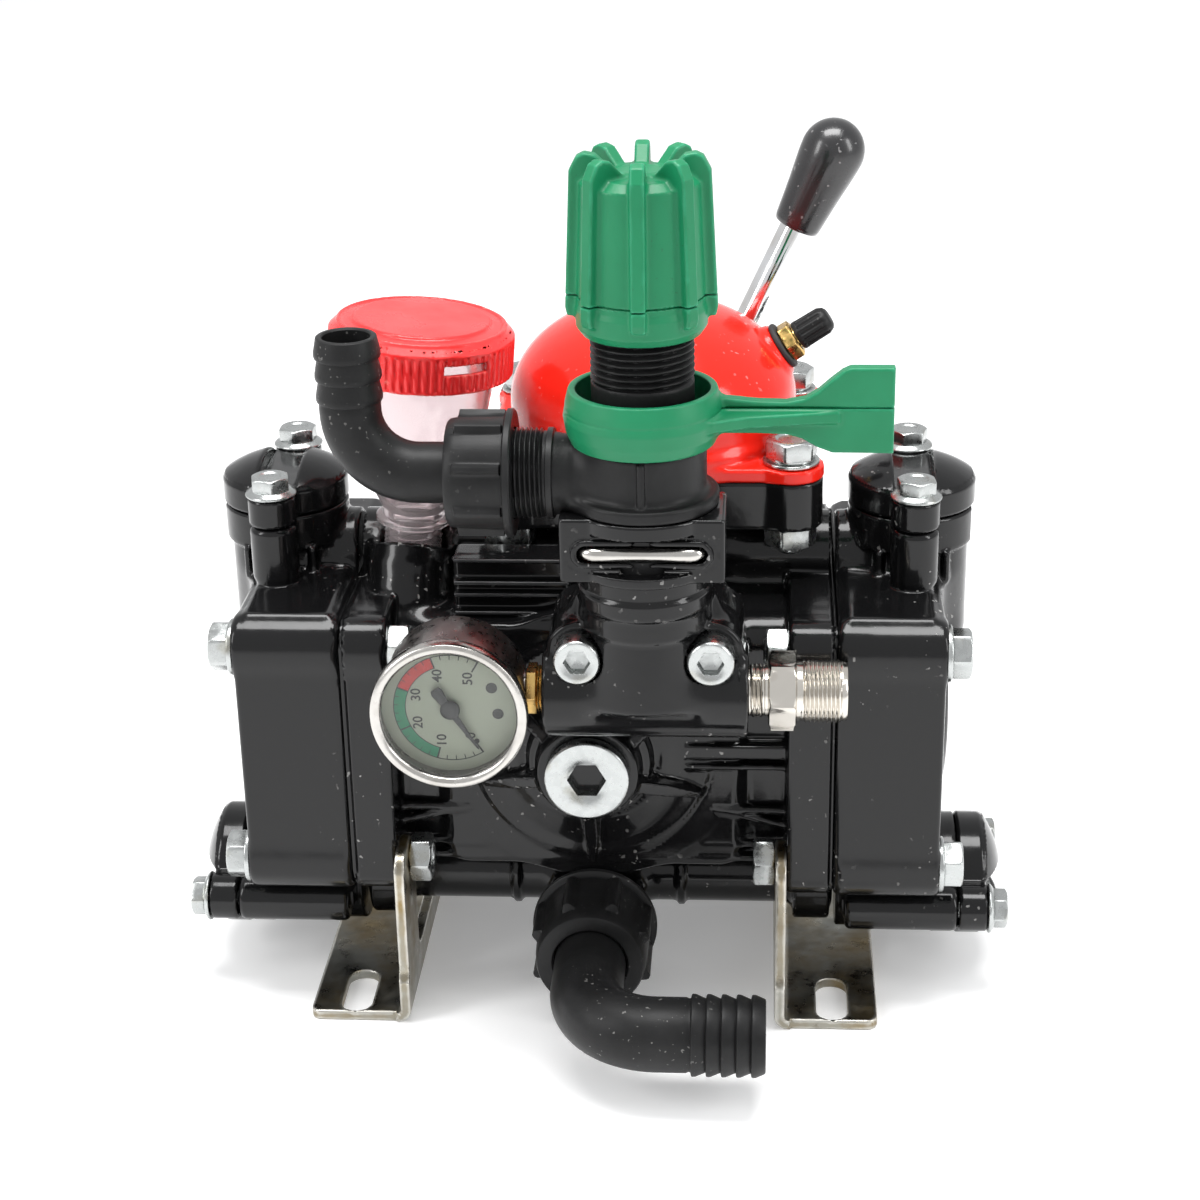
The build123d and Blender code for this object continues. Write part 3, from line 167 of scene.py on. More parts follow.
def outline(u, v, points):
    """Distance from a polygon in a plane, negative inside it."""
    best = np.full(u.shape, 1e9)
    inside = np.zeros(u.shape, bool)
    for (x0, y0), (x1, y1) in zip(points, points[1:] + points[:1]):
        ex, ey = x1 - x0, y1 - y0
        wx, wy = u - x0, v - y0
        t = np.clip((wx * ex + wy * ey) / (ex * ex + ey * ey), 0, 1)
        best = np.minimum(best, (wx - ex * t) ** 2 + (wy - ey * t) ** 2)
        left = ex * wy > ey * wx
        inside ^= ((v >= y0) & (v < y1) & left) | ((v < y0) & (v >= y1) & ~left)
    return np.sqrt(best) * np.where(inside, -1, 1)


def melt(a, b, k):
    """Two solids joined by a fillet of about size k."""
    h = np.maximum(k - np.abs(a - b), 0) / k
    return np.minimum(a, b) - h * h * k / 4


def carve(a, b, k):
    """Solid a with b cut away, its lip rounded by about k."""
    return -melt(-a, b, k)


def mirrored_x(p):
    """Points folded to the right-hand half, for a solid that is the same on both sides."""
    return np.stack([np.abs(p[0]), p[1], p[2]])


def cast(name, field, low, high, cell):
    """Smooth mesh of the surface of a solid given as a distance field in millimetres."""
    low, high = np.array(low, float), np.array(high, float)
    step = 6
    blocks = np.ceil((high - low) / (cell * step)).astype(int)
    middle = np.indices(blocks).reshape(3, -1) * step * cell + low[:, None] + step * cell / 2
    rough = field(middle).reshape(blocks)
    near = np.abs(rough) < step * cell * 1.15
    spread = np.ones((step, step, step))
    mask = np.kron(near, spread).astype(bool)
    value = np.kron(np.sign(rough), spread) * cell * 3
    nodes = np.argwhere(mask).T
    value[mask] = field(nodes * cell + low[:, None])
    solid = value < 0
    shape = np.array(value.shape)
    cells, points = [], []
    for axis in range(3):
        unit = np.eye(3, dtype=int)[axis]
        first = tuple(slice(0, shape[i] - unit[i]) for i in range(3))
        second = tuple(slice(unit[i], shape[i]) for i in range(3))
        spots = np.argwhere(solid[first] != solid[second])
        one, two = np.roll(unit, 1), np.roll(unit, 2)
        spots = spots[(spots[:, one.argmax()] > 0) & (spots[:, two.argmax()] > 0)]
        a = value[tuple(spots.T)]
        b = value[tuple((spots + unit).T)]
        points.append(spots + unit * (a / (a - b))[:, None])
        around = [spots - one - two, spots - two, spots, spots - one]
        ring = np.stack([np.ravel_multi_index(c.T, shape) for c in around], axis=1)
        flip = a < 0
        ring[~flip] = ring[~flip][:, ::-1]
        cells.append(ring)
    cells, points = np.concatenate(cells), np.concatenate(points)
    ids, corner = np.unique(cells, return_inverse=True)
    corner = corner.reshape(cells.shape)
    verts = np.zeros((3, len(ids)))
    count = np.bincount(corner.ravel(), minlength=len(ids))
    for i in range(3):
        verts[i] = np.bincount(corner.ravel(), np.repeat(points[:, i], 4), len(ids)) / count
    verts = verts * cell + low[:, None]
    for reach in (0.3, 0.1, 0.15):
        corners = np.array([(1, 1, 1), (1, -1, -1), (-1, 1, -1), (-1, -1, 1)], float)
        slope = sum(c[:, None] * field(verts + c[:, None] * reach) for c in corners)
        slope /= np.sqrt((slope ** 2).sum(axis=0)) + 1e-9
        if reach != 0.15:
            verts = verts - slope * np.clip(field(verts), -cell, cell)
    mesh = bpy.data.meshes.new(name)
    mesh.vertices.add(verts.shape[1])
    mesh.vertices.foreach_set("co", (verts.T * 0.001).ravel())
    mesh.loops.add(corner.size)
    mesh.loops.foreach_set("vertex_index", corner.ravel())
    mesh.polygons.add(len(corner))
    mesh.polygons.foreach_set("loop_start", np.arange(0, corner.size, 4))
    mesh.update(calc_edges=True)
    mesh.polygons.foreach_set("use_smooth", [True] * len(corner))
    mesh.normals_split_custom_set_from_vertices([tuple(n) for n in slope.T])
    piece = bpy.data.objects.new(name, mesh)
    scene.collection.objects.link(piece)
    return piece


def group(name, inputs, outputs):
    """Empty shader node group with named float inputs and named outputs."""
    tree = bpy.data.node_groups.new(name, "ShaderNodeTree")
    for label, value in inputs.items():
        socket = tree.interface.new_socket(label, in_out="INPUT", socket_type="NodeSocketFloat")
        socket.default_value = value
    for label, kind in outputs.items():
        tree.interface.new_socket(label, in_out="OUTPUT", socket_type=kind)
    return tree, tree.nodes.new("NodeGroupInput"), tree.nodes.new("NodeGroupOutput")


def noise(tree, scale, detail=3.0, rough=0.5):
    """Noise texture on the object's own coordinates; the scale may be a socket."""
    place = tree.nodes.new("ShaderNodeTexCoord")
    node = tree.nodes.new("ShaderNodeTexNoise")
    node.inputs["Detail"].default_value = detail
    node.inputs["Roughness"].default_value = rough
    tree.links.new(place.outputs["Object"], node.inputs["Vector"])
    if isinstance(scale, bpy.types.NodeSocket):
        tree.links.new(scale, node.inputs["Scale"])
    else:
        node.inputs["Scale"].default_value = scale
    return node.outputs["Fac"]


def spread_value(tree, value, from_min, from_max, to_min, to_max):
    """Value mapped from one range to another and clamped."""
    node = tree.nodes.new("ShaderNodeMapRange")
    for socket, item in zip(list(node.inputs)[:5], (value, from_min, from_max, to_min, to_max)):
        if isinstance(item, bpy.types.NodeSocket):
            tree.links.new(item, socket)
        else:
            socket.default_value = item
    return node.outputs["Result"]


def calc(tree, operation, a, b):
    """One math node on two sockets or numbers."""
    node = tree.nodes.new("ShaderNodeMath")
    node.operation = operation
    for socket, item in zip(node.inputs, (a, b)):
        if isinstance(item, bpy.types.NodeSocket):
            tree.links.new(item, socket)
        else:
            socket.default_value = item
    return node.outputs[0]


# Dust: a few pale specks in patches. Edge mask: follows the outer edges; the paler colour painted through it is
# partly wear and partly a painted highlight where sharp edges catch the light.
dust_tree, dust_in, dust_out = group("dust", {"Scale": 500, "Amount": 0.5}, {"Mask": "NodeSocketFloat"})
specks = spread_value(dust_tree, noise(dust_tree, dust_in.outputs["Scale"], 1.0), 0.70, 0.74, 0, 1)
patches = spread_value(dust_tree, noise(dust_tree, 22, 2.0), 0.5, 0.66, 0, 1)
settled = calc(dust_tree, "MULTIPLY", specks, patches)
dust_mask = calc(dust_tree, "MULTIPLY", settled, dust_in.outputs["Amount"])
dust_tree.links.new(dust_mask, dust_out.inputs["Mask"])

edge_wear_and_highlight_tree, edge_wear_and_highlight_in, edge_wear_and_highlight_out = group("edge_wear_and_highlight", {"Sharpness": 0.53, "Amount": 1.0},
                                     {"Mask": "NodeSocketFloat"})
# Sharp edges found from pointiness; the paler colour laid on them is partly wear, partly painted highlight.
pointed = edge_wear_and_highlight_tree.nodes.new("ShaderNodeNewGeometry").outputs["Pointiness"]
broken = calc(edge_wear_and_highlight_tree, "ADD", pointed, spread_value(edge_wear_and_highlight_tree, noise(edge_wear_and_highlight_tree, 160), 0, 1, -0.03, 0.03))
limit = calc(edge_wear_and_highlight_tree, "ADD", edge_wear_and_highlight_in.outputs["Sharpness"], 0.03)
worn_and_lit_edges = spread_value(edge_wear_and_highlight_tree, broken, edge_wear_and_highlight_in.outputs["Sharpness"], limit, 0, 1)
edge_wear_and_highlight_tree.links.new(calc(edge_wear_and_highlight_tree, "MULTIPLY", worn_and_lit_edges, edge_wear_and_highlight_in.outputs["Amount"]), edge_wear_and_highlight_out.inputs["Mask"])

# Skin: the height of a coarse and a fine unevenness together, for castings, enamel and mouldings.
skin_tree, skin_in, skin_out = group("skin", {"Coarse": 100, "Fine": 900, "Share": 0.3},
                                     {"Height": "NodeSocketFloat"})
fine = calc(skin_tree, "MULTIPLY", noise(skin_tree, skin_in.outputs["Fine"], 2.0), skin_in.outputs["Share"])
coarse = noise(skin_tree, skin_in.outputs["Coarse"], 1.0)
skin_tree.links.new(calc(skin_tree, "ADD", coarse, fine), skin_out.inputs["Height"])


def place_group(tree, grouped, **values):
    """Put a node group into a material with its own values."""
    node = tree.nodes.new("ShaderNodeGroup")
    node.node_tree = grouped
    for label, value in values.items():
        node.inputs[label.capitalize()].default_value = value
    return node.outputs[0]


def bumped(tree, shader, height, strength, distance):
    """Feed a height into the shader's normal."""
    bump = tree.nodes.new("ShaderNodeBump")
    bump.inputs["Strength"].default_value = strength
    bump.inputs["Distance"].default_value = distance
    tree.links.new(height, bump.inputs["Height"])
    tree.links.new(bump.outputs["Normal"], shader.inputs["Normal"])


def tinted(tree, shader, mask, under, over):
    """Base colour that turns from one colour to another where a mask is set."""
    mix = tree.nodes.new("ShaderNodeMix")
    mix.data_type = "RGBA"
    for socket, item in ((mix.inputs[6], under), (mix.inputs[7], over)):
        if isinstance(item, bpy.types.NodeSocket):
            tree.links.new(item, socket)
        else:
            socket.default_value = (*item, 1)
    tree.links.new(mask, mix.inputs[0])
    tree.links.new(mix.outputs[2], shader.inputs["Base Color"])
    return mix.outputs[2]


def enamel(name, colour, edge_highlight_colour, rough, dust_amount):
    """Stove enamel over a casting: slight orange peel, sharp edges tinted paler as a painted highlight, and
    dust.
    """
    material, shader, tree = principled(name, colour, rough, coat=0.22, ior_level=0.22)
    # Painted highlight: the sharp edges take a paler colour that stands for light caught on them.
    wear_and_highlight_mask = place_group(tree, edge_wear_and_highlight_tree, sharpness=0.56, amount=0.35)
    edge_highlighted = tinted(tree, shader, wear_and_highlight_mask, colour, edge_highlight_colour)
    dust = place_group(tree, dust_tree, scale=420, amount=dust_amount)
    tinted(tree, shader, dust, edge_highlighted, (0.55, 0.54, 0.52))
    uneven = spread_value(tree, noise(tree, 35), 0.3, 0.7, rough * 0.75, rough * 1.4)
    tree.links.new(calc(tree, "ADD", uneven, calc(tree, "MULTIPLY", dust, 0.5)), shader.inputs["Roughness"])
    bumped(tree, shader, place_group(tree, skin_tree, coarse=140, fine=900, share=0.12), 0.12, 0.0012)
    return material


# The second colour is the painted edge highlight on the black enamel.
black_paint = enamel("black_paint", (0.0045, 0.0045, 0.0048), (0.05, 0.05, 0.052), 0.16, 0.55)
axis_z, flange_in, seam_x = 101.3, 71.0, 88.0
dome_x, dome_y, plate_y, plate_z = 20.5, 20.0, 22.0, 178.0
unit_x, unit_y = 21.9, -82.0
cup_foot = np.array([-67.2, -15.0, 165.0])
cup_axis = np.array([math.sin(math.radians(5)), 0, math.cos(math.radians(5))])
suction_y, suction_z = -18.0, 34.4


def crankcase_field(p):
    m = mirrored_x(p)
    x, y, z = p
    body = block(p, (0, 0, axis_z), (170, 96, 98), 12)
    body = melt(body, plate(p, 1, (0, -26, axis_z), (108, 50, 97), 8, 3), 5)
    body = melt(body, rod(m, (0, 0, 160), (90, 0, 160), 14.5, 2), 8)
    body = melt(body, plate(p, 2, (dome_x, plate_y - 3, 146), (70, 54, 64), 8, 1.5), 7)
    oil_boss = rod(p, cup_foot - 45 * cup_axis, cup_foot, 15.6, 1.2, 15.0)
    body = melt(body, oil_boss, 5)
    body = melt(body, rod(p, cup_foot, (-70, -38, 125), 15, 1.5), 4)
    # Front disc with its step ring, the boss, the ribs and the bearing neck
    ring = np.hypot(x, z - axis_z)
    body = melt(body, thick(ring - 54, np.abs(y + 46) - 3.8, 1.2), 3)
    body = melt(body, rod(p, (0, -46, axis_z), (0, -52.4, axis_z), 43, 1.2), 3)
    body = melt(body, rod(p, (0, -50, axis_z), (0, -57.5, axis_z), 41, 1.0, 26), 3)
    body = melt(body, rod(p, (0, -50, axis_z), (0, -63, axis_z), 23.5, 1.2, 22), 2.5)
    body = melt(body, rod(p, (0, -50, axis_z), (0, -72.3, axis_z), 19.5, 1.2, 18.2), 3)
    for angle, reach in ((35, 43), (142, 43), (197, 41), (270, 45), (338, 43)):
        a = math.radians(angle)
        u = x * math.cos(a) + (z - axis_z) * math.sin(a)
        v = -x * math.sin(a) + (z - axis_z) * math.cos(a)
        crest = np.clip(68 - (u - 20) * 0.52, 50, 70)
        width = 2.6 - np.maximum(u - 30, 0) * 0.11
        rib = thick(np.maximum(np.abs(v) - width, np.maximum(12 - u, u - reach)), -y - crest, 1.0)
        body = melt(body, np.maximum(rib, y + 44), 2.2)
    # Ridges and V ribs that run from the disc out to the flanges, and the lower lines
    for height, tall in ((101.4, 5.6), (95.4, 2.2)):
        body = melt(body, block(m, (54, -50, height), (40, 8, tall), 1.0), 1.4)
    for end_z in (76.6, 70.4):
        body = melt(body, rod(m, (45, -49.8, 76.8), (72, -51, end_z), 1.3, 0.6, 1.6), 1.6)
    body = melt(body, block(p, (-28, -35.5, 159), (42, 12, 28), 2), 3)
    for height in (172, 163.4, 158.8, 151.8):
        body = melt(body, block(p, (-28, -43, height), (42, 5, 1.6), 0.7), 0.8)
    for height in (62, 56):
        body = melt(body, block(m, (56, -46, height), (32, 9, 2.4), 1.0), 2)
    # Flanges, with a thin gasket line at each seam
    body = melt(body, plate(m, 0, (79.5, 0, axis_z), (17, 133, 108), 10, 1.6), 2.5)
    for sy in (-1, 1):
        body = melt(body, rod(m, (72, sy * 57.5, 143.4), (87.6, sy * 57.5, 143.4), 10.6, 1.2), 3)
    gasket = thick(np.abs(m[0] - 88) - 1.6, outline_rect(y, z - axis_z, 66.3, 53.8, 10) * -1 - 0.9, 0.1)
    body = np.maximum(body, -gasket)
    # Room for the control unit, the hollow core and the bores
    body = carve(body, block(p, (unit_x, -61, 148.5), (67, 22, 33), 1), 0.6)
    body = carve(body, rod(p, cup_foot - 3.2 * cup_axis, cup_foot + 5 * cup_axis, 12.0, 0.3), 0.8)
    body = carve(body, block(p, (0, 0, axis_z), (116, 76, 80), 6), 1)
    body = carve(body, rod(p, (0, 30, axis_z), (0, 60, axis_z), 38, 0.3), 0.8)
    for start, radius in ((55, 26), (84, 40), (86.5, 46.2)):
        body = carve(body, rod(m, (start, 0, axis_z), (95, 0, axis_z), radius, 0.3), 0.4)
    return np.maximum(body, m[0] - 88.0)


def outline_rect(u, v, half_u, half_v, corner):
    """Flat distance from a rounded rectangle."""
    a, b = np.abs(u) - half_u + corner, np.abs(v) - half_v + corner
    return np.hypot(np.maximum(a, 0), np.maximum(b, 0)) + np.minimum(np.maximum(a, b), 0) - corner


crankcase = cast("crankcase_casting", crankcase_field, (-92, -76, 44), (92, 70, 184), 1.3)
crankcase.data.materials.append(black_paint)
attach(crankcase, "housing")
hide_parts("crankcase")

# ---------------------------------------------------------------- pump heads
# Two aluminium castings in the same black enamel, each with a delivery valve barrel on top and a
# suction valve barrel below that faces outwards. Four long bolts hold each to its flange.
head_out, valve_x = 126.0, 115.8
cover_bolt_y, delivery_seam, suction_seam = 27.8, 179.5, 135.0


def head_field(p):
    m = mirrored_x(p)
    x, y, z = m
    body = plate(m, 0, (107, 0, axis_z), (38, 133, 108), 10, 2.0)
    for sy in (-1, 1):
        for sz in (-1, 1):
            spot = (sy * 57.0, axis_z + sz * 42.4)
            body = melt(body, rod(m, (90, *spot), (head_out, *spot), 10.6, 1.2), 3)
    body = melt(body, rod(m, (110, 0, axis_z), (130, 0, axis_z), 38, 2.5, 33), 5)
    body = melt(body, rod(m, (valve_x, 0, 130), (valve_x, 0, 170), 21.2, 1.5), 9)
    body = melt(body, rod(m, (seam_x, 0, 160), (valve_x, 0, 160), 14.5, 1.5), 5)
    body = melt(body, rod(m, (valve_x, 0, 166), (valve_x, 0, delivery_seam), 23, 1.0), 1.6)
    for sy in (-1, 1):
        foot, top = (valve_x, sy * cover_bolt_y, 157.5), (valve_x, sy * cover_bolt_y, delivery_seam)
        body = melt(body, rod(m, foot, top, 8.6, 2.6), 1.8)
        body = melt(body, block(m, (valve_x, sy * 22, 169), (9, 8, 20), 1.5), 2)
        body = melt(body, block(m, (valve_x + sy * 12, -19, 161), (2.6, 5, 12), 1), 1.5)
    low = (90, suction_y, suction_z)
    body = melt(body, rod(m, low, (suction_seam, suction_y, suction_z), 21.2, 1.0), 7)
    body = melt(body, rod(m, (126, suction_y, suction_z), (suction_seam, suction_y, suction_z), 23, 1.0), 1.6)
    for sy in (-1, 1):
        y_spot = suction_y + sy * cover_bolt_y
        lug = rod(m, (93, y_spot, suction_z), (suction_seam, y_spot, suction_z), 8.6, 2.4)
        body = melt(body, lug, 3)
        body = melt(body, block(m, (112, suction_y + sy * 24, suction_z), (40, 10, 8), 1.5), 2)
    ridge = block(m, (107, 0, 155), (30, 118, 3), 1.2)
    body = melt(body, ridge, 4)
    body = carve(body, rod(m, (80, 0, axis_z), (104, 0, axis_z), 44, 0.5, 35), 1)
    return np.maximum(body, seam_x + 0.05 - x)


for side_name, sign in (("left", -1), ("right", 1)):
    span = sorted((sign * 86, sign * 138))
    head = cast("pump_head_" + side_name, head_field, (span[0], -70, 10), (span[1], 70, 182), 1.25)
    head.data.materials.append(black_paint)
    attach(head, "housing")
    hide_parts("head_" + side_name)

# ---------------------------------------------------------------- valve covers
# Four like covers with a crowned top, a channel across it and two bolt lugs; cast and enamelled.


def cover_field(p):
    x, y, z = p
    body = rod(p, (0, 0, 0.3), (0, 0, 10.4), 23.2, 1.4)
    for sy in (-1, 1):
        body = melt(body, rod(p, (0, sy * cover_bolt_y, 0.3), (0, sy * cover_bolt_y, 11), 8.6, 1.0), 2.5)
        body = melt(body, block(p, (0, sy * 22, 5.6), (14, 14, 10.6), 1), 2.5)
    dome = np.maximum(np.sqrt(x * x + y * y + (z + 21.7) ** 2) - 39.7, rod(p, (0, 0, 4), (0, 0, 20), 22.4, 1))
    body = melt(body, dome, 0.8)
    channel = np.maximum(np.abs(x) - 7.2, 11.0 - z)
    return carve(body, channel, 1.2)


def placed(piece, name, matrix):
    """Copy of a piece moved to its place, in metres."""
    mesh = piece.data.copy()
    mesh.transform(matrix)
    copied = bpy.data.objects.new(name, mesh)
    scene.collection.objects.link(copied)
    return copied


pattern = cast("valve_cover_pattern", cover_field, (-25, -38, -1.5), (25, 38, 20), 0.95)
pattern.data.materials.append(black_paint)
for side_name, sign in (("left", -1), ("right", 1)):
    top = Matrix.Translation((sign * valve_x * 0.001, 0, delivery_seam * 0.001))
    low = Matrix.Translation((sign * suction_seam * 0.001, suction_y * 0.001, suction_z * 0.001))
    low = low @ Matrix.Rotation(sign * math.pi / 2, 4, "Y")
    for kind, matrix in (("delivery", top), ("suction", low)):
        cover = placed(pattern, kind + "_cover_" + side_name, matrix)
        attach(cover, "housing")
        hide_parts("valve_covers")
bpy.data.objects.remove(pattern)

# ---------------------------------------------------------------- hexagon bolts and nuts
# Cold-forged steel with chamfered hexagons and rolled washers, bright zinc plated. M10 bolts hold
# the heads and the accumulator, M8 flange bolts the valve covers and the clutch housing.


def skin(rings):
    """Faces around a closed row of rings; a ring of one point closes to a tip."""
    verts, faces, starts = [], [], []
    for ring in rings:
        starts.append(len(verts))
        verts.extend(np.atleast_2d(ring))
    for i, start in enumerate(starts):
        j = (i + 1) % len(rings)
        a, b = np.atleast_2d(rings[i]).shape[0], np.atleast_2d(rings[j]).shape[0]
        count = max(a, b)
        if count == 1:
            continue
        for k in range(count):
            n = (k + 1) % count
            face = [start + k % a, start + n % a, starts[j] + n % b, starts[j] + k % b]
            faces.append([v for v, seen in zip(face, range(4)) if v not in face[:seen]])
    return np.array(verts), faces


def lathe(rows, origin, along, steps=64):
    """Turned solid from rows of (distance, radius); either may be an array of one value per step."""
    axis = np.array(along, float) / np.linalg.norm(along)
    first = np.array((1, 0, 0) if abs(axis[2]) > 0.9 else (0, 0, 1), float)
    first = first - axis * (first @ axis)
    first /= np.linalg.norm(first)
    second = np.cross(axis, first)
    t = np.linspace(0, 2 * math.pi, steps, endpoint=False)
    rings = []
    for distance, radius in rows:
        centre = np.array(origin) + np.multiply.outer(np.broadcast_to(distance, steps), axis)
        if np.max(radius) < 1e-6:
            rings.append(centre[:1])
        else:
            arm = np.multiply.outer(np.cos(t), first) + np.multiply.outer(np.sin(t), second)
            rings.append(centre + np.broadcast_to(radius, steps)[:, None] * arm)
    return skin(rings)


def solid(name, parts, material, body, slot, nodes, soften=0.0, rounds=2, sharp=34):
    """One piece from several skins in millimetres, with its sharp edges rounded."""
    verts = np.concatenate([v for v, f in parts]) * 0.001
    faces, start = [], 0
    for v, f in parts:
        faces += [[i + start for i in face] for face in f]
        start += len(v)
    piece = add_mesh(name, verts, faces)
    shape = bmesh.new()
    shape.from_mesh(piece.data)
    bmesh.ops.recalc_face_normals(shape, faces=shape.faces)
    if soften:
        edges = [e for e in shape.edges if e.is_manifold and e.calc_face_angle(0) > math.radians(sharp)]
        bmesh.ops.bevel(shape, geom=edges, offset=soften * 0.001, segments=rounds, profile=0.5,
                        affect="EDGES", clamp_overlap=True)
    shape.to_mesh(piece.data)
    shape.free()
    piece.data.polygons.foreach_set("use_smooth", [True] * len(piece.data.polygons))
    piece.data.set_sharp_from_angle(angle=math.radians(sharp + 6))
    piece.data.materials.append(material)
    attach(piece, body)
    if nodes:
        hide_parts(*nodes)
    return piece


def hex_radius(flats, steps=72, turn=0.0):
    """Distance from the middle to the side of a hexagon, all round."""
    t = np.linspace(0, 2 * math.pi, steps, endpoint=False) + math.radians(turn)
    return flats / 2 / np.cos((t + math.pi / 6) % (math.pi / 3) - math.pi / 6)


def hex_head(seat, along, flats, low, high, dish=0.6, turn=0.0):
    """Forged bolt head: chamfered corners and a shallow dish in the top."""
    side = hex_radius(flats, 72, turn)
    ring = flats * 0.475
    corner = high - (side - ring) * 0.55
    rows = [(low, 0), (low, side), (corner, side), (high, ring), (high, ring * 0.72),
            (high - dish, ring * 0.6), (high - dish, 0)]
    return lathe(rows, seat, along, 72)


def hex_nut(seat, along, flats, high, hole, turn=0.0):
    """Nut with both ends chamfered."""
    side = hex_radius(flats, 72, turn)
    ring = flats * 0.475
    drop = (side - ring) * 0.55
    rows = [(0, hole + 0.6), (0, ring), (drop, side), (high - drop, side), (high, ring), (high, hole + 0.9),
            (high - 0.9, hole), (0.6, hole)]
    return lathe(rows, seat, along, 72)


def shank(seat, along, radius, start, end):
    """Plain shank with a small point."""
    rows = [(start, 0), (start, radius), (end - 1, radius), (end, radius - 0.8), (end, 0)]
    return lathe(rows, seat, along, 24)


def plated(name, colour, stain, rough, stain_from, stain_to):
    """Plated steel: slight mottling, faint stains and fine scratches."""
    material, shader, tree = principled(name, colour, rough, metal=1.0)
    patch = spread_value(tree, noise(tree, 90, 4), stain_from, stain_to, 0, 1)
    tinted(tree, shader, patch, colour, stain)
    tree.links.new(spread_value(tree, noise(tree, 320, 4), 0.3, 0.7, rough * 0.7, rough * 1.5),
                   shader.inputs["Roughness"])
    bumped(tree, shader, place_group(tree, skin_tree, coarse=500, fine=2400, share=0.4), 0.1, 0.0004)
    return material


zinc = plated("zinc", (0.43, 0.445, 0.44), (0.31, 0.295, 0.24), 0.25, 0.58, 0.82)
rng = np.random.default_rng(5)
m8_parts, m10_parts, nut_parts = [], [], []


def m8_bolt(seat, along):
    flange = [(0, 0), (0, 9), (0.7, 9.3), (1.3, 8.8), (2.4, 7.2), (2.4, 0)]
    m8_parts.append(lathe(flange, seat, along, 48))
    m8_parts.append(hex_head(seat, along, 13, 1.8, 7.2, 0.7, rng.uniform(0, 60)))
    m8_parts.append(shank(seat, tuple(-a for a in along), 3.9, 0, 27))


for side_x in (-1, 1):
    for sy in (-1, 1):
        m8_bolt((side_x * valve_x, sy * cover_bolt_y, 190.5), (0, 0, 1))
        m8_bolt((side_x * 146, suction_y + sy * cover_bolt_y, suction_z), (side_x, 0, 0))
        m8_bolt((side_x * 44, 58, axis_z + sy * 41), (0, 1, 0))
        for sz in (-1, 1):
            seat = (side_x * (head_out + 2), sy * 57.5, axis_z + sz * 42.1)
            washer = [(-2, 5.2), (-2, 9.9), (-1.6, 10.2), (-0.4, 10.2), (0, 9.8), (0, 5.2)]
            m10_parts.append(lathe(washer, seat, (side_x, 0, 0), 48))
            m10_parts.append(hex_head(seat, (side_x, 0, 0), 16, 0, 6.9, 0.8, rng.uniform(0, 60)))
            m10_parts.append(shank(seat, (-side_x, 0, 0), 4.9, 0, 66))
            grip = 4.0 if sz < 0 else 0.0
            nut_seat = (side_x * (flange_in - grip), sy * 57.5, axis_z + sz * 42.1)
            nut_parts.append(hex_nut(nut_seat, (-side_x, 0, 0), 16, 8, 4.95, rng.uniform(0, 60)))
dome_bolts = [(dome_x + sx * 51, plate_y + sy * 42) for sx in (-1, 1) for sy in (-1, 1)]
for x, y in dome_bolts:
    nut_parts.append(hex_nut((x, y, plate_z), (0, 0, -1), 17, 8, 4.95, rng.uniform(0, 60)))
solid("m8_flange_bolts", m8_parts, zinc, "housing", "zinc", ["flange_bolts"], 0.25)
solid("m10_head_bolts", m10_parts, zinc, "housing", "zinc", ["head_bolts"], 0.25)
solid("hexagon_nuts", nut_parts, zinc, "housing", "zinc", ["hex_nuts"], 0.2)

# ---------------------------------------------------------------- feet
# Two brackets bent from 4 mm steel sheet, with slots in the flange and two ears behind the nuts.
# The zinc is old: it has a yellow and brown stain, and bare bright edges.
foot_half = 77.0


def feet_field(p):
    x, y, z = mirrored_x(p)
    web = np.abs(x - 69) - 2.0
    arc_x, arc_z = x - 73.0, z - 6.0
    bend_r = np.hypot(arc_x, arc_z)
    sheet = np.where((arc_x < 0) & (arc_z < 0), np.abs(bend_r - 4.0) - 2.0,
                     np.where(arc_x < 0, web, np.abs(z - 2) - 2.0))
    lengthways = np.abs(y) - foot_half
    reach = x - 105.0
    corner = np.hypot(np.maximum(lengthways + 4, 0), np.maximum(reach + 4, 0)) - 4
    edge = np.where(arc_x < 0, lengthways, np.maximum(np.maximum(lengthways, reach), corner))
    ear = outline_rect(np.abs(y) - 64, z - 34, 13, 34, 8)
    low_web = np.maximum(lengthways, z - 16)
    profile = np.where(arc_x < 0, melt(ear, low_web, 8), edge)
    slot = np.hypot(x - 88.5, np.maximum(np.abs(np.abs(y) - 62) - 8.25, 0)) - 5.75
    hole = np.hypot(np.abs(y) - 57.5, z - 59.2) - 5.2
    cut = np.where(arc_x < 0, hole, slot)
    return thick(np.maximum(profile, -cut), sheet, 0.5)


feet = cast("feet_brackets", feet_field, (-107, -79, -1.5), (107, 79, 70), 0.95)
yellow_zinc, shader, tree = principled("yellow_zinc", (0.5, 0.47, 0.38), 0.34, metal=1.0)
stain = spread_value(tree, noise(tree, 26, 5, 0.6), 0.40, 0.66, 0, 1)
base = tinted(tree, shader, stain, (0.33, 0.33, 0.30), (0.23, 0.17, 0.08))
blotch = spread_value(tree, noise(tree, 75, 5, 0.7), 0.60, 0.72, 0, 0.8)
base = tinted(tree, shader, blotch, base, (0.10, 0.065, 0.035))
bare = place_group(tree, edge_wear_and_highlight_tree, sharpness=0.52, amount=0.7)
tinted(tree, shader, bare, base, (0.60, 0.59, 0.55))
tree.links.new(spread_value(tree, noise(tree, 120, 5), 0.3, 0.7, 0.22, 0.5), shader.inputs["Roughness"])
bumped(tree, shader, place_group(tree, skin_tree, coarse=220, fine=1800, share=0.35), 0.15, 0.0005)
feet.data.materials.append(yellow_zinc)
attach(feet, "housing")
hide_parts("feet")

# ---------------------------------------------------------------- suction side
# The manifold under the crankcase is a black casting. The union nut and the elbow with its hose
# tail are moulded from glass-filled nylon, which is matt with a slight sheen.
port_z = 28.0


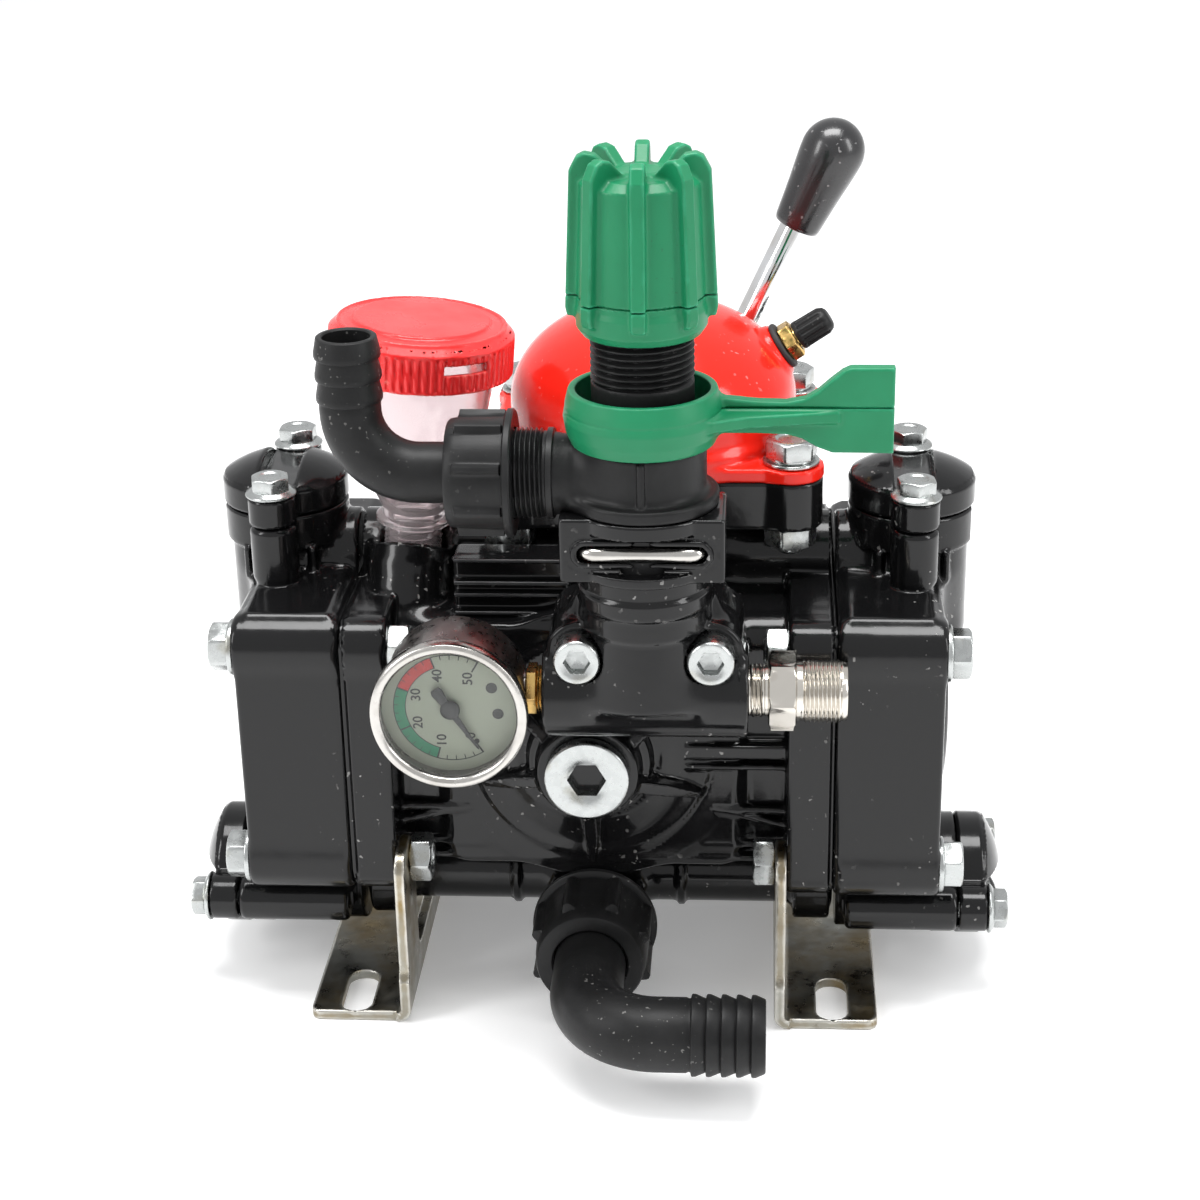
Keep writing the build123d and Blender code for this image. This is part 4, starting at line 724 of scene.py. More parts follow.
def manifold_field(p):
    m = mirrored_x(p)
    body = rod(m, (-5, suction_y, suction_z), (seam_x, suction_y, suction_z), 12.8, 0.8)
    body = melt(body, rod(m, (74, suction_y, suction_z - 2), (seam_x, suction_y, suction_z - 2), 17, 1.5), 4)
    body = melt(body, rod(m, (30, suction_y, suction_z), (33, suction_y, suction_z), 14.4, 1), 1.5)
    body = melt(body, rod(p, (0, -8, port_z), (0, -50, port_z), 17, 1.2), 6)
    body = melt(body, rod(p, (0, -40, port_z), (0, -65.5, port_z), 14.6, 0.8), 1)
    return carve(body, rod(p, (0, -40, port_z), (0, -70, port_z), 10, 0.3), 0.6)


manifold = cast("suction_manifold_casting", manifold_field, (-90, -68, 8), (90, 4, 56), 1.1)
manifold.data.materials.append(black_paint)
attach(manifold, "housing")
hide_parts("suction_manifold")


def moulded(name, colour, rough, mottle, dust_amount=0.25):
    """Moulded polymer: fine grain, slight mottling, edges a little paler (partly wear, partly painted
    highlight), and dust.
    """
    material, shader, tree = principled(name, colour, rough, ior_level=0.22)
    pale = tuple(c * mottle + 0.004 for c in colour)
    patch = spread_value(tree, noise(tree, 60, 5, 0.6), 0.35, 0.75, 0, 1)
    base = tinted(tree, shader, patch, colour, pale)
    # Sharp edges painted paler: partly wear, partly painted highlight.
    wear_and_highlight_mask = place_group(tree, edge_wear_and_highlight_tree, sharpness=0.55, amount=0.3)
    base = tinted(tree, shader, wear_and_highlight_mask, base, tuple(c * 1.4 + 0.02 for c in colour))
    dust = place_group(tree, dust_tree, scale=600, amount=dust_amount)
    tinted(tree, shader, dust, base, (0.5, 0.49, 0.47))
    tree.links.new(spread_value(tree, noise(tree, 45, 3), 0.3, 0.7, rough * 0.85, rough * 1.2),
                   shader.inputs["Roughness"])
    bumped(tree, shader, place_group(tree, skin_tree, coarse=320, fine=2600, share=0.5), 0.14, 0.0004)
    return material


black_plastic = moulded("black_plastic", (0.006, 0.006, 0.0062), 0.42, 1.5)


def union_nut(profile, lugs, ribs, lug_r, lug_width, lug_low, lug_high):
    """Rows of a hand-tightened nut whose outside carries raised lugs between two distances."""
    steps = lugs * 24
    t = (np.arange(steps) % 24) / 24
    pitch = 2 * math.pi * lug_r / lugs
    lug = np.clip(1.25 - np.abs(t - 0.5) * pitch / (lug_width / 2), 0, 1)
    lug = lug * lug * (3 - 2 * lug)
    fine = 0.35 * (np.abs((t * ribs) % 1 - 0.5) < 0.22) if ribs else 0
    rows = []
    for distance, radius in profile:
        on = lug_low <= distance <= lug_high and radius > lug_r - 4
        raised = np.maximum(radius, lug * lug_r + (1 - lug) * radius) + fine * on
        rows.append((distance, raised if on else radius))
    return rows, steps


nut_profile = [(50, 15.2), (50, 22.6), (50.7, 23.3), (52.6, 23.3), (53.2, 22.6), (53.4, 21), (54, 20.95),
               (60, 20.8), (68, 20.6), (73.8, 20.4), (74.4, 20.3), (78, 20), (79.6, 19.3), (80, 18.4),
               (80, 14.2), (79.4, 13.5), (70.8, 13.5), (70.8, 15.2)]
rows, steps = union_nut(nut_profile, 8, 0, 23.1, 5.5, 53.9, 73.9)
solid("suction_nut", [lathe(rows, (0, 0, port_z), (0, -1, 0), steps)], black_plastic, "housing",
      "black_plastic", ["suction_union_nut"])


def route(points, bend):
    """Place and direction at any length along two straight runs joined by one bend."""
    a, b, c = (np.array(q, float) for q in points)
    d1, d2 = (b - a) / np.linalg.norm(b - a), (c - b) / np.linalg.norm(c - b)
    first, last = np.linalg.norm(b - a) - bend, np.linalg.norm(c - b) - bend
    arc = bend * math.pi / 2
    hub = b - d1 * bend + d2 * bend

    def at(s):
        if s < first:
            return a + d1 * s, d1
        if s < first + arc:
            w = (s - first) / bend
            place = hub - d2 * bend * math.cos(w) + d1 * bend * math.sin(w)
            return place, d1 * math.cos(w) + d2 * math.sin(w)
        return c - d2 * (first + arc + last - s), d2

    return at, first, arc, last


def swept(at, rows, normal, steps=64):
    """Skin of round sections along a route, from rows of (length, radius)."""
    t = np.linspace(0, 2 * math.pi, steps, endpoint=False)
    normal = np.array(normal, float)
    rings = []
    for s, radius in rows:
        place, direction = at(s)
        across = np.cross(normal, direction)
        arm = np.multiply.outer(np.cos(t), across) + np.multiply.outer(np.sin(t), normal)
        rings.append(place + radius * arm)
    return skin(rings)


at, first, arc, last = route([(0, -65.8, port_z), (0, -125, port_z), (64, -125, port_z)], 26)
end = first + arc + last
tail = end - 26.0
rows = [(0, 14.9), (4.0, 14.9), (4.6, 14.3), (4.6, 13)]
rows += [(s, 13) for s in np.linspace(6, first, 3)]
rows += [(s, 13) for s in np.linspace(first, first + arc, 19)[1:]]
rows += [(tail - 1.5, 13), (tail - 0.7, 12.6)]
for i in range(5):
    near = tail + i * 5.2
    rows += [(near, 12.7), (near + 0.25, 13.9), (near + 0.6, 14.2), (near + 1.7, 14.15), (near + 4.9, 12.8)]
rows += [(end - 0.1, 12.4), (end, 11.9), (end, 9.6), (end - 0.6, 9)]
rows += [(s, 9) for s in np.linspace(end - 8, first + arc, 3)]
rows += [(s, 9) for s in np.linspace(first + arc, first, 13)[1:]] + [(0, 9)]
solid("suction_elbow_tail", [swept(at, rows, (0, 0, 1))], black_plastic, "suction_elbow",
              "black_plastic", ["suction_elbow"])

# ---------------------------------------------------------------- accumulator
# A cast black base block and a red enamelled dome hold a membrane between them, clamped by four
# long bolts. The charging valve screws into the dome under a ribbed black cap.


def base_field(p):
    body = plate(p, 2, (dome_x, plate_y, 187), (120, 102, 18), 10, 1.2)
    for x, y in dome_bolts:
        body = melt(body, rod(p, (x, y, 178), (x, y, 196), 11.5, 1.0), 2)
    body = carve(body, plate(p, 2, (dome_x, plate_y, 183), (124, 106, 2.2), 12, 0.5)
                 + np.maximum(0, 1.2 + plate(p, 2, (dome_x, plate_y, 187), (117.6, 99.6, 40), 9, 0.5)) * 9, 0.4)
    return carve(body, rod(p, (dome_x, dome_y, 186), (dome_x, dome_y, 198), 33, 1, 50), 0.5)


base_block = cast("accumulator_base_block", base_field, (-42, -32, 175), (84, 76, 199), 1.1)
base_block.data.materials.append(black_paint)
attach(base_block, "housing")
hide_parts("accumulator_base")

valve_lean = math.radians(33)
valve_dir = np.array((math.cos(valve_lean), 0, math.sin(valve_lean)))
valve_seat = np.array((dome_x + 53 * math.cos(math.radians(29)) - 0.5, dome_y,
                       213 + 36.5 * math.sin(math.radians(29))))


def dome_field(p):
    x, y, z = p
    flange = plate(p, 2, (dome_x, plate_y, 198.5), (120, 102, 5), 10, 0.9)
    for bx, by in dome_bolts:
        flange = melt(flange, rod(p, (bx, by, 196.1), (bx, by, 201), 11.8, 0.8), 2)
    flange = melt(flange, rod(p, (dome_x, dome_y, 197), (dome_x, dome_y, 205), 54.3, 1.5), 1.5)
    ring = np.hypot(x - dome_x, y - dome_y)
    lift = z - 213
    size = np.hypot(ring / 53, lift / 36.5)
    slope = np.hypot(ring / 53 ** 2, lift / 36.5 ** 2) + 1e-9
    cap = np.where(lift > 0, size * (size - 1) / slope, ring - 53)
    body = melt(flange, np.maximum(cap, 198 - z), 4)
    body = melt(body, rod(p, valve_seat - 8 * valve_dir, valve_seat + 1.4 * valve_dir, 9.5, 0.6), 3)
    for bx, by in dome_bolts:
        body = carve(body, rod(p, (bx, by, 201), (bx, by, 222), 10.9, 0.4), 1.5)
    inner = np.hypot(ring / 49, lift / 32.5)
    inner_slope = np.hypot(ring / 49 ** 2, lift / 32.5 ** 2) + 1e-9
    hollow = np.where(lift > 0, inner * (inner - 1) / inner_slope, ring - 49)
    return np.maximum(body, -hollow)


dome = cast("accumulator_dome_shell", dome_field, (-42, -36, 193), (84, 77, 253), 1.15)
# The pinker second colour is the painted edge highlight on the red enamel.
red_enamel = enamel("red_enamel", (0.74, 0.016, 0.008), (0.80, 0.20, 0.14), 0.17, 0.3)
dome.data.materials.append(red_enamel)
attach(dome, "housing")
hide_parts("accumulator_dome")

parts = []
for x, y in dome_bolts:
    seat = (x, y, 203)
    parts.append(lathe([(-2, 5.2), (-2, 10), (-1.7, 10.2), (-0.9, 10.2), (-0.6, 9.9), (-0.6, 5.2)], seat,
                       (0, 0, 1), 48))
    parts.append(lathe([(-0.55, 5.2), (-0.55, 8.6), (0.9, 8.6), (0.9, 5.2)], seat, (0, 0, 1), 48))
    parts.append(hex_head(seat, (0, 0, 1), 17, 0.6, 7.2, 0.8, rng.uniform(0, 60)))
    parts.append(shank(seat, (0, 0, -1), 4.85, -1, 36))
solid("accumulator_m10_bolts", parts, zinc, "housing", "zinc", ["accumulator_bolts"], 0.22)

brass = plated("brass", (0.72, 0.48, 0.17), (0.50, 0.31, 0.11), 0.26, 0.5, 0.8)
side_r = hex_radius(13)
stem = lathe([(-12, 0), (-12, 6), (-9, 6), (-9, 4), (17, 4), (17, 0)], valve_seat, valve_dir, 32)
washer_rows = [(1.6, 4.2), (1.6, 8.6), (2.1, 9), (3.0, 9), (3.5, 8.6), (3.5, 4.2)]
washer = lathe(washer_rows, valve_seat, valve_dir, 48)
valve_hex = lathe([(3.6, 4.1), (3.6, 6.2), (4.1, side_r), (7.8, side_r), (8.5, 6.1), (8.5, 4.1)], valve_seat,
                  valve_dir, 72)
solid("charging_valve_body", [stem, valve_hex], brass, "housing", "brass", ["charging_valve"], 0.15)
rubber, shader, tree = principled("rubber", (0.018, 0.018, 0.019), 0.6)
bumped(tree, shader, place_group(tree, skin_tree, coarse=400, fine=3000, share=0.5), 0.2, 0.0003)
tree.links.new(spread_value(tree, noise(tree, 90, 4), 0.3, 0.7, 0.5, 0.75), shader.inputs["Roughness"])
solid("charging_valve_seal", [washer], rubber, "housing", "rubber", None, 0.2)
ribs = 12
t = np.linspace(0, 2 * math.pi, ribs * 8, endpoint=False)
ripple = 0.28 * np.clip(np.cos(t * ribs) * 1.6, -1, 1)
cap_rows = [(9.2, 4.4), (9, 5.2), (9.4, 5.5), (10.6, 5.5), (11, 5.2 + ripple), (19.8, 5.05 + ripple),
            (20.6, 4.9), (21.8, 4.3), (22.5, 3.2), (22.5, 0), (17.5, 0), (17.5, 4.4)]
solid("charging_valve_cap_ribbed", [lathe(cap_rows, valve_seat, valve_dir, ribs * 8)], black_plastic,
      "charging_valve_cap", "black_plastic", ["charging_valve_cap"])

# ---------------------------------------------------------------- oil cup
# A clear blow-moulded bowl, slightly pink, screwed into its boss on the crankcase by a coarse
# thread. The red screw cap has a ribbed skirt and a window cut in it.
steps = 96
t = np.linspace(0, 2 * math.pi, steps, endpoint=False)


def thread_rows(start, end, pitch, root, crest, steps, per_turn=10, flat=0.25):
    """Rows of a helical thread between two distances, run out at both ends."""
    t = np.arange(steps) / steps
    rows = []
    for d in np.arange(start, end + 1e-6, pitch / per_turn):
        phase = (d / pitch - t) % 1.0
        tooth = np.clip((0.5 - np.abs(phase - 0.5)) * 2 / (1 - flat) - flat / 4, 0, 1)
        fade = min(1.0, (d - start) / pitch, (end - d) / pitch)
        rows.append((d, root + (crest - root) * tooth * max(fade, 0)))
    return rows


cup_rows = [(-12, 7.5), (-12, 9.2)] + thread_rows(-11, 10, 2.3, 9.3, 10.5, steps, 8, 0.3)
cup_rows += [(10.8, 9.5), (11.2, 13.2), (11.8, 13.8), (13.2, 13.8), (13.7, 13.2), (14.2, 11.4),
             (16, 11.3), (19, 12.9), (22, 14.5), (26, 16.6), (30, 18.3), (35, 20.2), (40, 21.8), (45, 23.1),
             (50, 24.1), (56, 25.1), (62, 25.9), (69, 26.4), (74, 26.6), (75.6, 27.2), (76, 29.6),
             (76.4, 30.3),
             (84.2, 30.3), (84.5, 30), (84.5, 28.2), (84, 28), (76.4, 24.9), (70, 24.4), (60, 23.8),
             (52, 22.5), (45, 21), (38, 19), (30, 16.2), (22, 12.5), (18, 9.6), (16, 7.5)]
clear_pink, shader, tree = principled("clear_pink", (0.95, 0.86, 0.87), 0.06)
shader.inputs["Transmission Weight"].default_value = 0.86
shader.inputs["IOR"].default_value = 1.42
haze = spread_value(tree, noise(tree, 55, 4), 0.4, 0.8, 0.06, 0.2)
tree.links.new(haze, shader.inputs["Roughness"])
bumped(tree, shader, place_group(tree, skin_tree, coarse=60, fine=700, share=0.06), 0.1, 0.001)
solid("oil_cup_bowl", [lathe(cup_rows, cup_foot, cup_axis, steps)], clear_pink, "housing",
            "clear_plastic", ["oil_cup"])


def cup_cap_field(p):
    q = p - col(cup_foot)
    h = cup_axis @ q
    sx, sy = q[0] * cup_axis[2] - q[2] * cup_axis[0], q[1]
    r = np.hypot(sx, sy)
    turn = np.arctan2(sy, sx)
    skirt = 33.15 + 0.28 * np.clip(np.cos(turn * 72) * 1.5, -1, 1) * (h < 82.5) * (h > 71)
    body = outline(r, h, [(-5, 84.9), (-5, 87.1), (24.6, 87.1), (30.3, 86.6), (33.2, 83.6), (33.2, 70),
                          (31.2, 70), (31.2, 84.9)]) - 0.05
    body = np.maximum(body, r - skirt)
    body = melt(body, thick(r - 24.4, np.abs(h - 87.2) - 1.1, 0.6), 1.2)
    body = melt(body, thick(np.abs(r - 29.6) - 0.6, np.abs(h - 86.6) - 0.7, 0.4), 0.8)
    along, off = sx * 0.6 - sy * 0.8, sx * 0.8 + sy * 0.6
    window = np.maximum(np.maximum(np.abs(off) - 8.5, np.abs(h - 78.6) - 1.6), 20 - along)
    return carve(body, window, 0.5)


cup_cap = cast("oil_cup_screw_cap", cup_cap_field, (-98, -50, 230), (-26, 20, 258), 0.72)
red_plastic, shader, tree = principled("red_plastic", (0.80, 0.013, 0.014), 0.3, coat=0.15)
shader.inputs["Subsurface Weight"].default_value = 0.15
shader.inputs["Subsurface Radius"].default_value = (0.004, 0.0008, 0.0008)
patch = spread_value(tree, noise(tree, 40, 3), 0.35, 0.75, 0, 1)
base = tinted(tree, shader, patch, (0.80, 0.013, 0.014), (0.86, 0.03, 0.03))
# Sharp edges painted paler: partly wear, partly painted highlight.
tinted(tree, shader, place_group(tree, edge_wear_and_highlight_tree, sharpness=0.54, amount=0.35), base, (0.95, 0.25, 0.2))
tree.links.new(spread_value(tree, noise(tree, 70, 3), 0.3, 0.7, 0.22, 0.38), shader.inputs["Roughness"])
bumped(tree, shader, place_group(tree, skin_tree, coarse=120, fine=1800, share=0.25), 0.12, 0.0005)
cup_cap.data.materials.append(red_plastic)
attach(cup_cap, "oil_cup_cap")
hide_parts("oil_cup_cap")

# ---------------------------------------------------------------- oil plug
# A zinc-plated screw plug with a socket, on a copper-coloured seal in the front boss.
hexed = hex_radius(12, 72)
plug_rows = [(58.5, 0), (58.5, 9.9), (72.6, 9.9), (72.6, 14.6), (73.0, 15), (76.9, 15), (77.5, 14.3),
             (77.5, 8.2), (76.7, np.maximum(hexed, 7.0)), (76.6, hexed), (70.5, hexed), (69, 0)]
solid("oil_filler_plug", [lathe(plug_rows, (0, 0, axis_z), (0, -1, 0), 72)], zinc, "housing", "zinc",
      ["oil_plug"], 0.12)

# ---------------------------------------------------------------- control unit
# One black casting: a crossbar for the gauge and the outlet, an upright socket for the regulator
# and a plate through which its clip passes. Two socket screws hold it to the crankcase.
bar_z, bar_left, bar_right, screw_z = 139.8, -13.2, 56.9, 157.2
unit = (unit_x, unit_y)
screw_spots = (unit_x - 22.5, unit_x + 22.5)
clip_z, clip_x, clip_y = 197.2, 19.8, -100.8


def control_field(p):
    x, y, z = p
    body = rod(p, (bar_left, unit_y, bar_z), (bar_right, unit_y, bar_z), 16.4, 1.4)
    body = melt(body, rod(p, (54, unit_y, bar_z), (bar_right, unit_y, bar_z), 16.6, 0.8), 0.5)
    body = melt(body, plate(p, 1, (unit_x, -69.5, 148.5), (65.6, 38.6, 31.6), 6, 1.2), 4)
    body = melt(body, block(p, (unit_x, unit_y + 2, 150), (30, 27, 26), 6), 6)
    body = melt(body, rod(p, (*unit, 140), (*unit, 172), 24, 2, 20.5), 7)
    for sx in screw_spots:
        body = melt(body, rod(p, (sx, -52, screw_z), (sx, -89.5, screw_z), 10.4, 1.2), 2.5)
        tear = rod(p, (sx, -76, screw_z), (unit_x + (sx - unit_x) * 0.86, -78, 178), 8.6, 3, 3)
        body = melt(body, tear, 4)
    body = melt(body, rod(p, (*unit, 166), (*unit, 190), 21.9, 1.0), 2)
    body = melt(body, rod(p, (*unit, 174), (*unit, 180.5), 22.9, 1.2), 1.2)
    body = melt(body, plate(p, 2, (unit_x, -86.6, 198), (54.8, 28, 22.3), 1.5, 0.8), 1)
    body = melt(body, rod(p, (*unit, 187), (*unit, 209.1), 25.4, 0.8), 0.8)
    # A flat seat with a raised rim around the clip's oval window
    oval = np.hypot(np.maximum(np.abs(x - unit_x) - 18.6, 0), z - clip_z)
    body = carve(body, np.maximum(oval - 6.6, y + 100.7), 0.4)
    body = melt(body, thick(oval - 4.9, np.abs(y + 98) - 3.8, 0.5), 0.4)
    body = carve(body, oval - 3.0, 0.6)
    body = carve(body, rod(p, (*unit, 174), (*unit, 215), 19.5, 0.3), 0.8)
    body = carve(body, rod(p, (44.9, unit_y, bar_z), (60, unit_y, bar_z), 9.5, 0.3), 0.8)
    body = carve(body, rod(p, (-16, unit_y, bar_z), (-0.5, unit_y, bar_z), 6.5, 0.3), 0.8)
    for sx in screw_spots:
        body = carve(body, rod(p, (sx, -90, screw_z), (sx, -120, screw_z), 8.7, 0.3), 0.5)
    return np.maximum(body, y + 50)


control = cast("control_unit_casting", control_field, (-17, -110, 120), (62, -48, 213), 0.85)
control.data.materials.append(black_paint)
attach(control, "housing")
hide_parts("control_manifold")

hexed = hex_radius(8, 72)
parts = []
for sx in screw_spots:
    rows = [(34, 0), (34, 4.9), (90, 4.9), (90, 7.8), (90.3, 8), (99.2, 8), (100, 7.3), (100, 5.6),
            (99.5, np.maximum(hexed, 4.8)), (99.4, hexed), (95, hexed), (94.2, 0)]
    parts.append(lathe(rows, (sx, 0, screw_z), (0, -1, 0), 72))
solid("control_unit_screws", parts, zinc, "housing", "zinc", ["manifold_screws"], 0.12)

stainless = plated("stainless", (0.50, 0.485, 0.46), (0.40, 0.38, 0.35), 0.2, 0.5, 0.8)
clip_points = []
for sign in (-1, 1):
    leg = [(unit_x + sign * clip_x, y, clip_z) for y in np.linspace(-61, clip_y + 5, 5)]
    hub = np.array((unit_x + sign * (clip_x - 5), clip_y + 5, clip_z))
    turns = np.linspace(0, math.pi / 2, 9)[1:]
    bend = [hub + 5 * np.array((sign * math.cos(a), -math.sin(a), 0)) for a in turns]
    run = leg + bend
    clip_points += run if sign < 0 else run[::-1]
clip_points = np.array([tuple(q) for q in clip_points])
directions = np.gradient(clip_points, axis=0)
directions /= np.linalg.norm(directions, axis=1)[:, None]
t = np.linspace(0, 2 * math.pi, 32, endpoint=False)
rings = [clip_points[:1]]
radii = [2.1] + [2.45] * (len(clip_points) - 2) + [2.1]
for place, direction, radius in zip(clip_points, directions, radii):
    across = np.cross((0, 0, 1), direction)
    around = np.multiply.outer(np.cos(t), across) + np.multiply.outer(np.sin(t), (0, 0, 1))
    rings.append(place + radius * around)
rings.append(clip_points[-1:])
solid("regulator_clip", [skin(rings)], stainless, "retaining_clip", "stainless", ["retaining_clip"], sharp=50)

# ---------------------------------------------------------------- outlet fitting
# Turned brass with a thick nickel plate: short inner thread, hexagon, and a long outer thread.
nickel = plated("nickel", (0.64, 0.61, 0.56), (0.48, 0.44, 0.38), 0.16, 0.55, 0.85)
side_r = hex_radius(24)
rows = [(45.9, 7.5), (45.9, 9.3), (56.5, 9.3)] + [(d, np.maximum(r - 0.05, 0)) for d, r in
        thread_rows(57, 62.6, 1.4, 8.7, 9.4, 72, 6, 0.2)]
rows += [(62.8, 8.9), (63.7, 8.9), (63.7, 11.2), (64.3, np.minimum(side_r, 12.6)), (64.8, side_r),
         (72.5, side_r), (73.1, np.minimum(side_r, 12.6)), (73.6, 11.2), (73.6, 10.1), (74.8, 10.1)]
rows += thread_rows(75, 89.6, 1.45, 10.1, 11.0, 72, 8, 0.2)
rows += [(90.2, 10.1), (90.8, 9.6), (90.8, 8.1), (90.3, 7.5)]
solid("outlet_nipple", [lathe(rows, (0, unit_y, bar_z), (1, 0, 0), 72)], nickel, "housing", "nickel",
      ["outlet_fitting"], sharp=40)

# ---------------------------------------------------------------- pressure gauge
# A glycerine gauge in a stainless case with a crimped, polished bezel. It screws into the crossbar
# through a short brass adapter. The dial is printed metal and its pointer is black.
gauge_x, gauge_z = -44.0, 139.8
gauge_at = (gauge_x, 0, gauge_z)
case_steel = plated("case_steel", (0.30, 0.275, 0.265), (0.26, 0.235, 0.225), 0.3, 0.55, 0.95)
case_rows = [(73, 0), (73, 20.6), (73.6, 21.6), (75.6, 24.1), (76.6, 24.5), (102.9, 24.5), (103, 23.3),
             (75.6, 23.3), (75.6, 0)]
case = lathe(case_rows, gauge_at, (0, -1, 0), 96)
stem = lathe([(21.6, 4.5), (21.6, 6.2), (24.6, 6.2), (24.6, 4.5)], (gauge_x, unit_y, gauge_z), (1, 0, 0), 32)
solid("gauge_shell", [case, stem], case_steel, "housing", "stainless", ["gauge_case"], 0.2)
bezel_rows = [(101, 24.55), (101, 26.2), (101.5, 26.8), (102.6, 27), (104.6, 27), (106.2, 26.6),
              (106.9, 25.7),
              (107, 25), (106.8, 24.2), (106.2, 23.5), (105.6, 23.1), (105.5, 24.1), (103.1, 24.1),
              (103.1, 24.55)]
solid("gauge_crimped_bezel", [lathe(bezel_rows, gauge_at, (0, -1, 0), 96)], stainless, "housing", "stainless",
      ["gauge_bezel"], 0.1)
side_r = hex_radius(15.6)
rows = [(-22, 2.1), (-22, 4.3), (-19.4, 4.3), (-19.4, 7), (-18.9, side_r), (-15.9, side_r), (-15.4, 7),
        (-13.3, 6.3), (-2, 6.3), (-2, 2.1)]
collar_rows = [(-15.4, 6.3), (-15.4, 7.8), (-15.0, 8.2), (-14.5, 7.6), (-14.0, 8.2), (-13.4, 7.8),
               (-13.3, 6.3)]
collar = lathe(collar_rows, (0, unit_y, bar_z), (1, 0, 0), 48)
solid("gauge_brass_adapter", [lathe(rows, (0, unit_y, bar_z), (1, 0, 0), 72), collar], brass, "housing",
      "brass", ["gauge_adapter"], 0.12)
lens_glass, shader, tree = principled("lens_glass", (0.97, 0.985, 0.975), 0.02)
shader.inputs["Transmission Weight"].default_value = 1.0
shader.inputs["IOR"].default_value = 1.3
tree.links.new(spread_value(tree, noise(tree, 120, 3), 0.5, 0.9, 0.01, 0.06), shader.inputs["Roughness"])
lens_rows = [(103.5, 0), (103.5, 23.7), (103.7, 24), (105.2, 24), (105.4, 23.8), (105.4, 0)]
solid("gauge_glass", [lathe(lens_rows, gauge_at, (0, -1, 0), 96)], lens_glass, "housing", "lens",
      ["gauge_lens"])

dial_y = -98.5
dial_paint, shader, tree = principled("dial_paint", (0.30, 0.32, 0.25), 0.5)
aged = spread_value(tree, noise(tree, 70, 3), 0.3, 0.7, 0, 1)
tinted(tree, shader, aged, (0.30, 0.32, 0.25), (0.33, 0.35, 0.28))
bumped(tree, shader, place_group(tree, skin_tree, coarse=300, fine=2000, share=0.3), 0.05, 0.0002)
dial_rows = [(97.5, 1.4), (97.5, 23.2), (98.5, 23.2), (98.5, 1.4)]
solid("gauge_face", [lathe(dial_rows, gauge_at, (0, -1, 0), 96)], dial_paint, "housing", "dial",
      ["gauge_dial"], 0.08)


def printed(name, colour):
    """Flat ink on the dial, slightly uneven."""
    material, shader, tree = principled(name, colour, 0.45)
    patch = spread_value(tree, noise(tree, 500, 2), 0.3, 0.7, 0, 1)
    tinted(tree, shader, patch, colour, tuple(c * 1.15 + 0.01 for c in colour))
    return material


def dial_spot(angle, radius, lift):
    """A spot on the dial, a little way in front of its paint."""
    a = math.radians(angle)
    return (gauge_x + radius * math.cos(a), dial_y - lift, gauge_z + radius * math.sin(a))


def band(low, high, inner, outer, lift=0.06, step=3.0):
    """Flat ring sector on the dial; angles run clockwise from the zero of the scale."""
    turns = np.linspace(low, high, max(2, int(abs(high - low) / step) + 1))
    verts, faces = [], []
    for a in turns:
        verts += [dial_spot(a, inner, lift), dial_spot(a, outer, lift)]
    for i in range(len(turns) - 1):
        faces.append([2 * i, 2 * i + 1, 2 * i + 3, 2 * i + 2])
    return np.array(verts), faces


def scale_angle(value):
    """Direction of a value on the scale, which runs clockwise."""
    return -57.0 - value * 4.86


def print_on_dial(name, parts, material):
    """One printed piece of the dial from several flat parts, as thin as ink."""
    verts = np.concatenate([v for v, f in parts]) * 0.001
    faces, start = [], 0
    for v, f in parts:
        faces += [[i + start for i in face] for face in f]
        start += len(v)
    piece = add_mesh(name, verts, faces, False)
    thickness = piece.modifiers.new("ink", "SOLIDIFY")
    thickness.thickness = 0.00004
    piece.data.materials.append(material)
    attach(piece, "housing")
    return piece


print_on_dial("dial_green_band", [band(scale_angle(10), scale_angle(30), 15.2, 18.9)],
              printed("green_ink", (0.006, 0.17, 0.08)))
print_on_dial("dial_red_band", [band(scale_angle(30), scale_angle(40), 15.2, 18.9)],
              printed("red_ink", (0.42, 0.015, 0.012)))
black_ink = printed("black_ink", (0.012, 0.012, 0.013))
marks = [band(scale_angle(0), scale_angle(50), 18.9, 19.2, 0.1)]
marks.append(band(scale_angle(10), scale_angle(40), 15.0, 15.25, 0.1))
for value in range(0, 51, 2):
    long_mark = value % 10 == 0
    a = scale_angle(value)
    half = 0.9 if long_mark else 0.45
    marks.append(band(a - half, a + half, 15.0 if long_mark else 17.4, 19.2, 0.12, 0.5))
for a, radius, size in ((-55, 14.6, 0.9), (28, 15.7, 1.9), (-7, 15.9, 1.9)):
    centre = dial_spot(a, radius, 0.12)
    turn = np.linspace(0, 2 * math.pi, 17)[:-1]
    rim = [(centre[0] + size * math.cos(w), centre[1], centre[2] + size * math.sin(w)) for w in turn]
    verts = np.array([centre] + rim)
    marks.append((verts, [[0, i + 1, (i + 1) % 16 + 1] for i in range(16)]))
print_on_dial("dial_scale", marks, black_ink)
for value in range(0, 51, 10):
    font = bpy.data.curves.new("numeral", "FONT")
    font.body, font.size, font.align_x, font.align_y = str(value), 0.0046, "CENTER", "CENTER"
    font.extrude = 0.00003
    font.offset = 0.00006
    numeral = bpy.data.objects.new("numeral", font)
    scene.collection.objects.link(numeral)
    bpy.context.view_layer.update()
    mesh = bpy.data.meshes.new_from_object(numeral.evaluated_get(bpy.context.evaluated_depsgraph_get()))
    bpy.data.objects.remove(numeral)
    angle = scale_angle(value)
    spot = Vector(dial_spot(angle, 12.3 if value else 11.9, 0.12)) * 0.001
    upright = Matrix.Rotation(-math.pi / 2, 4, "Y") @ Matrix.Rotation(math.pi / 2, 4, "X")
    mesh.transform(Matrix.Translation(spot) @ upright)
    piece = bpy.data.objects.new("dial_numeral_%d" % value, mesh)
    scene.collection.objects.link(piece)
    mesh.materials.clear()
    mesh.materials.append(black_ink)
    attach(piece, "housing")

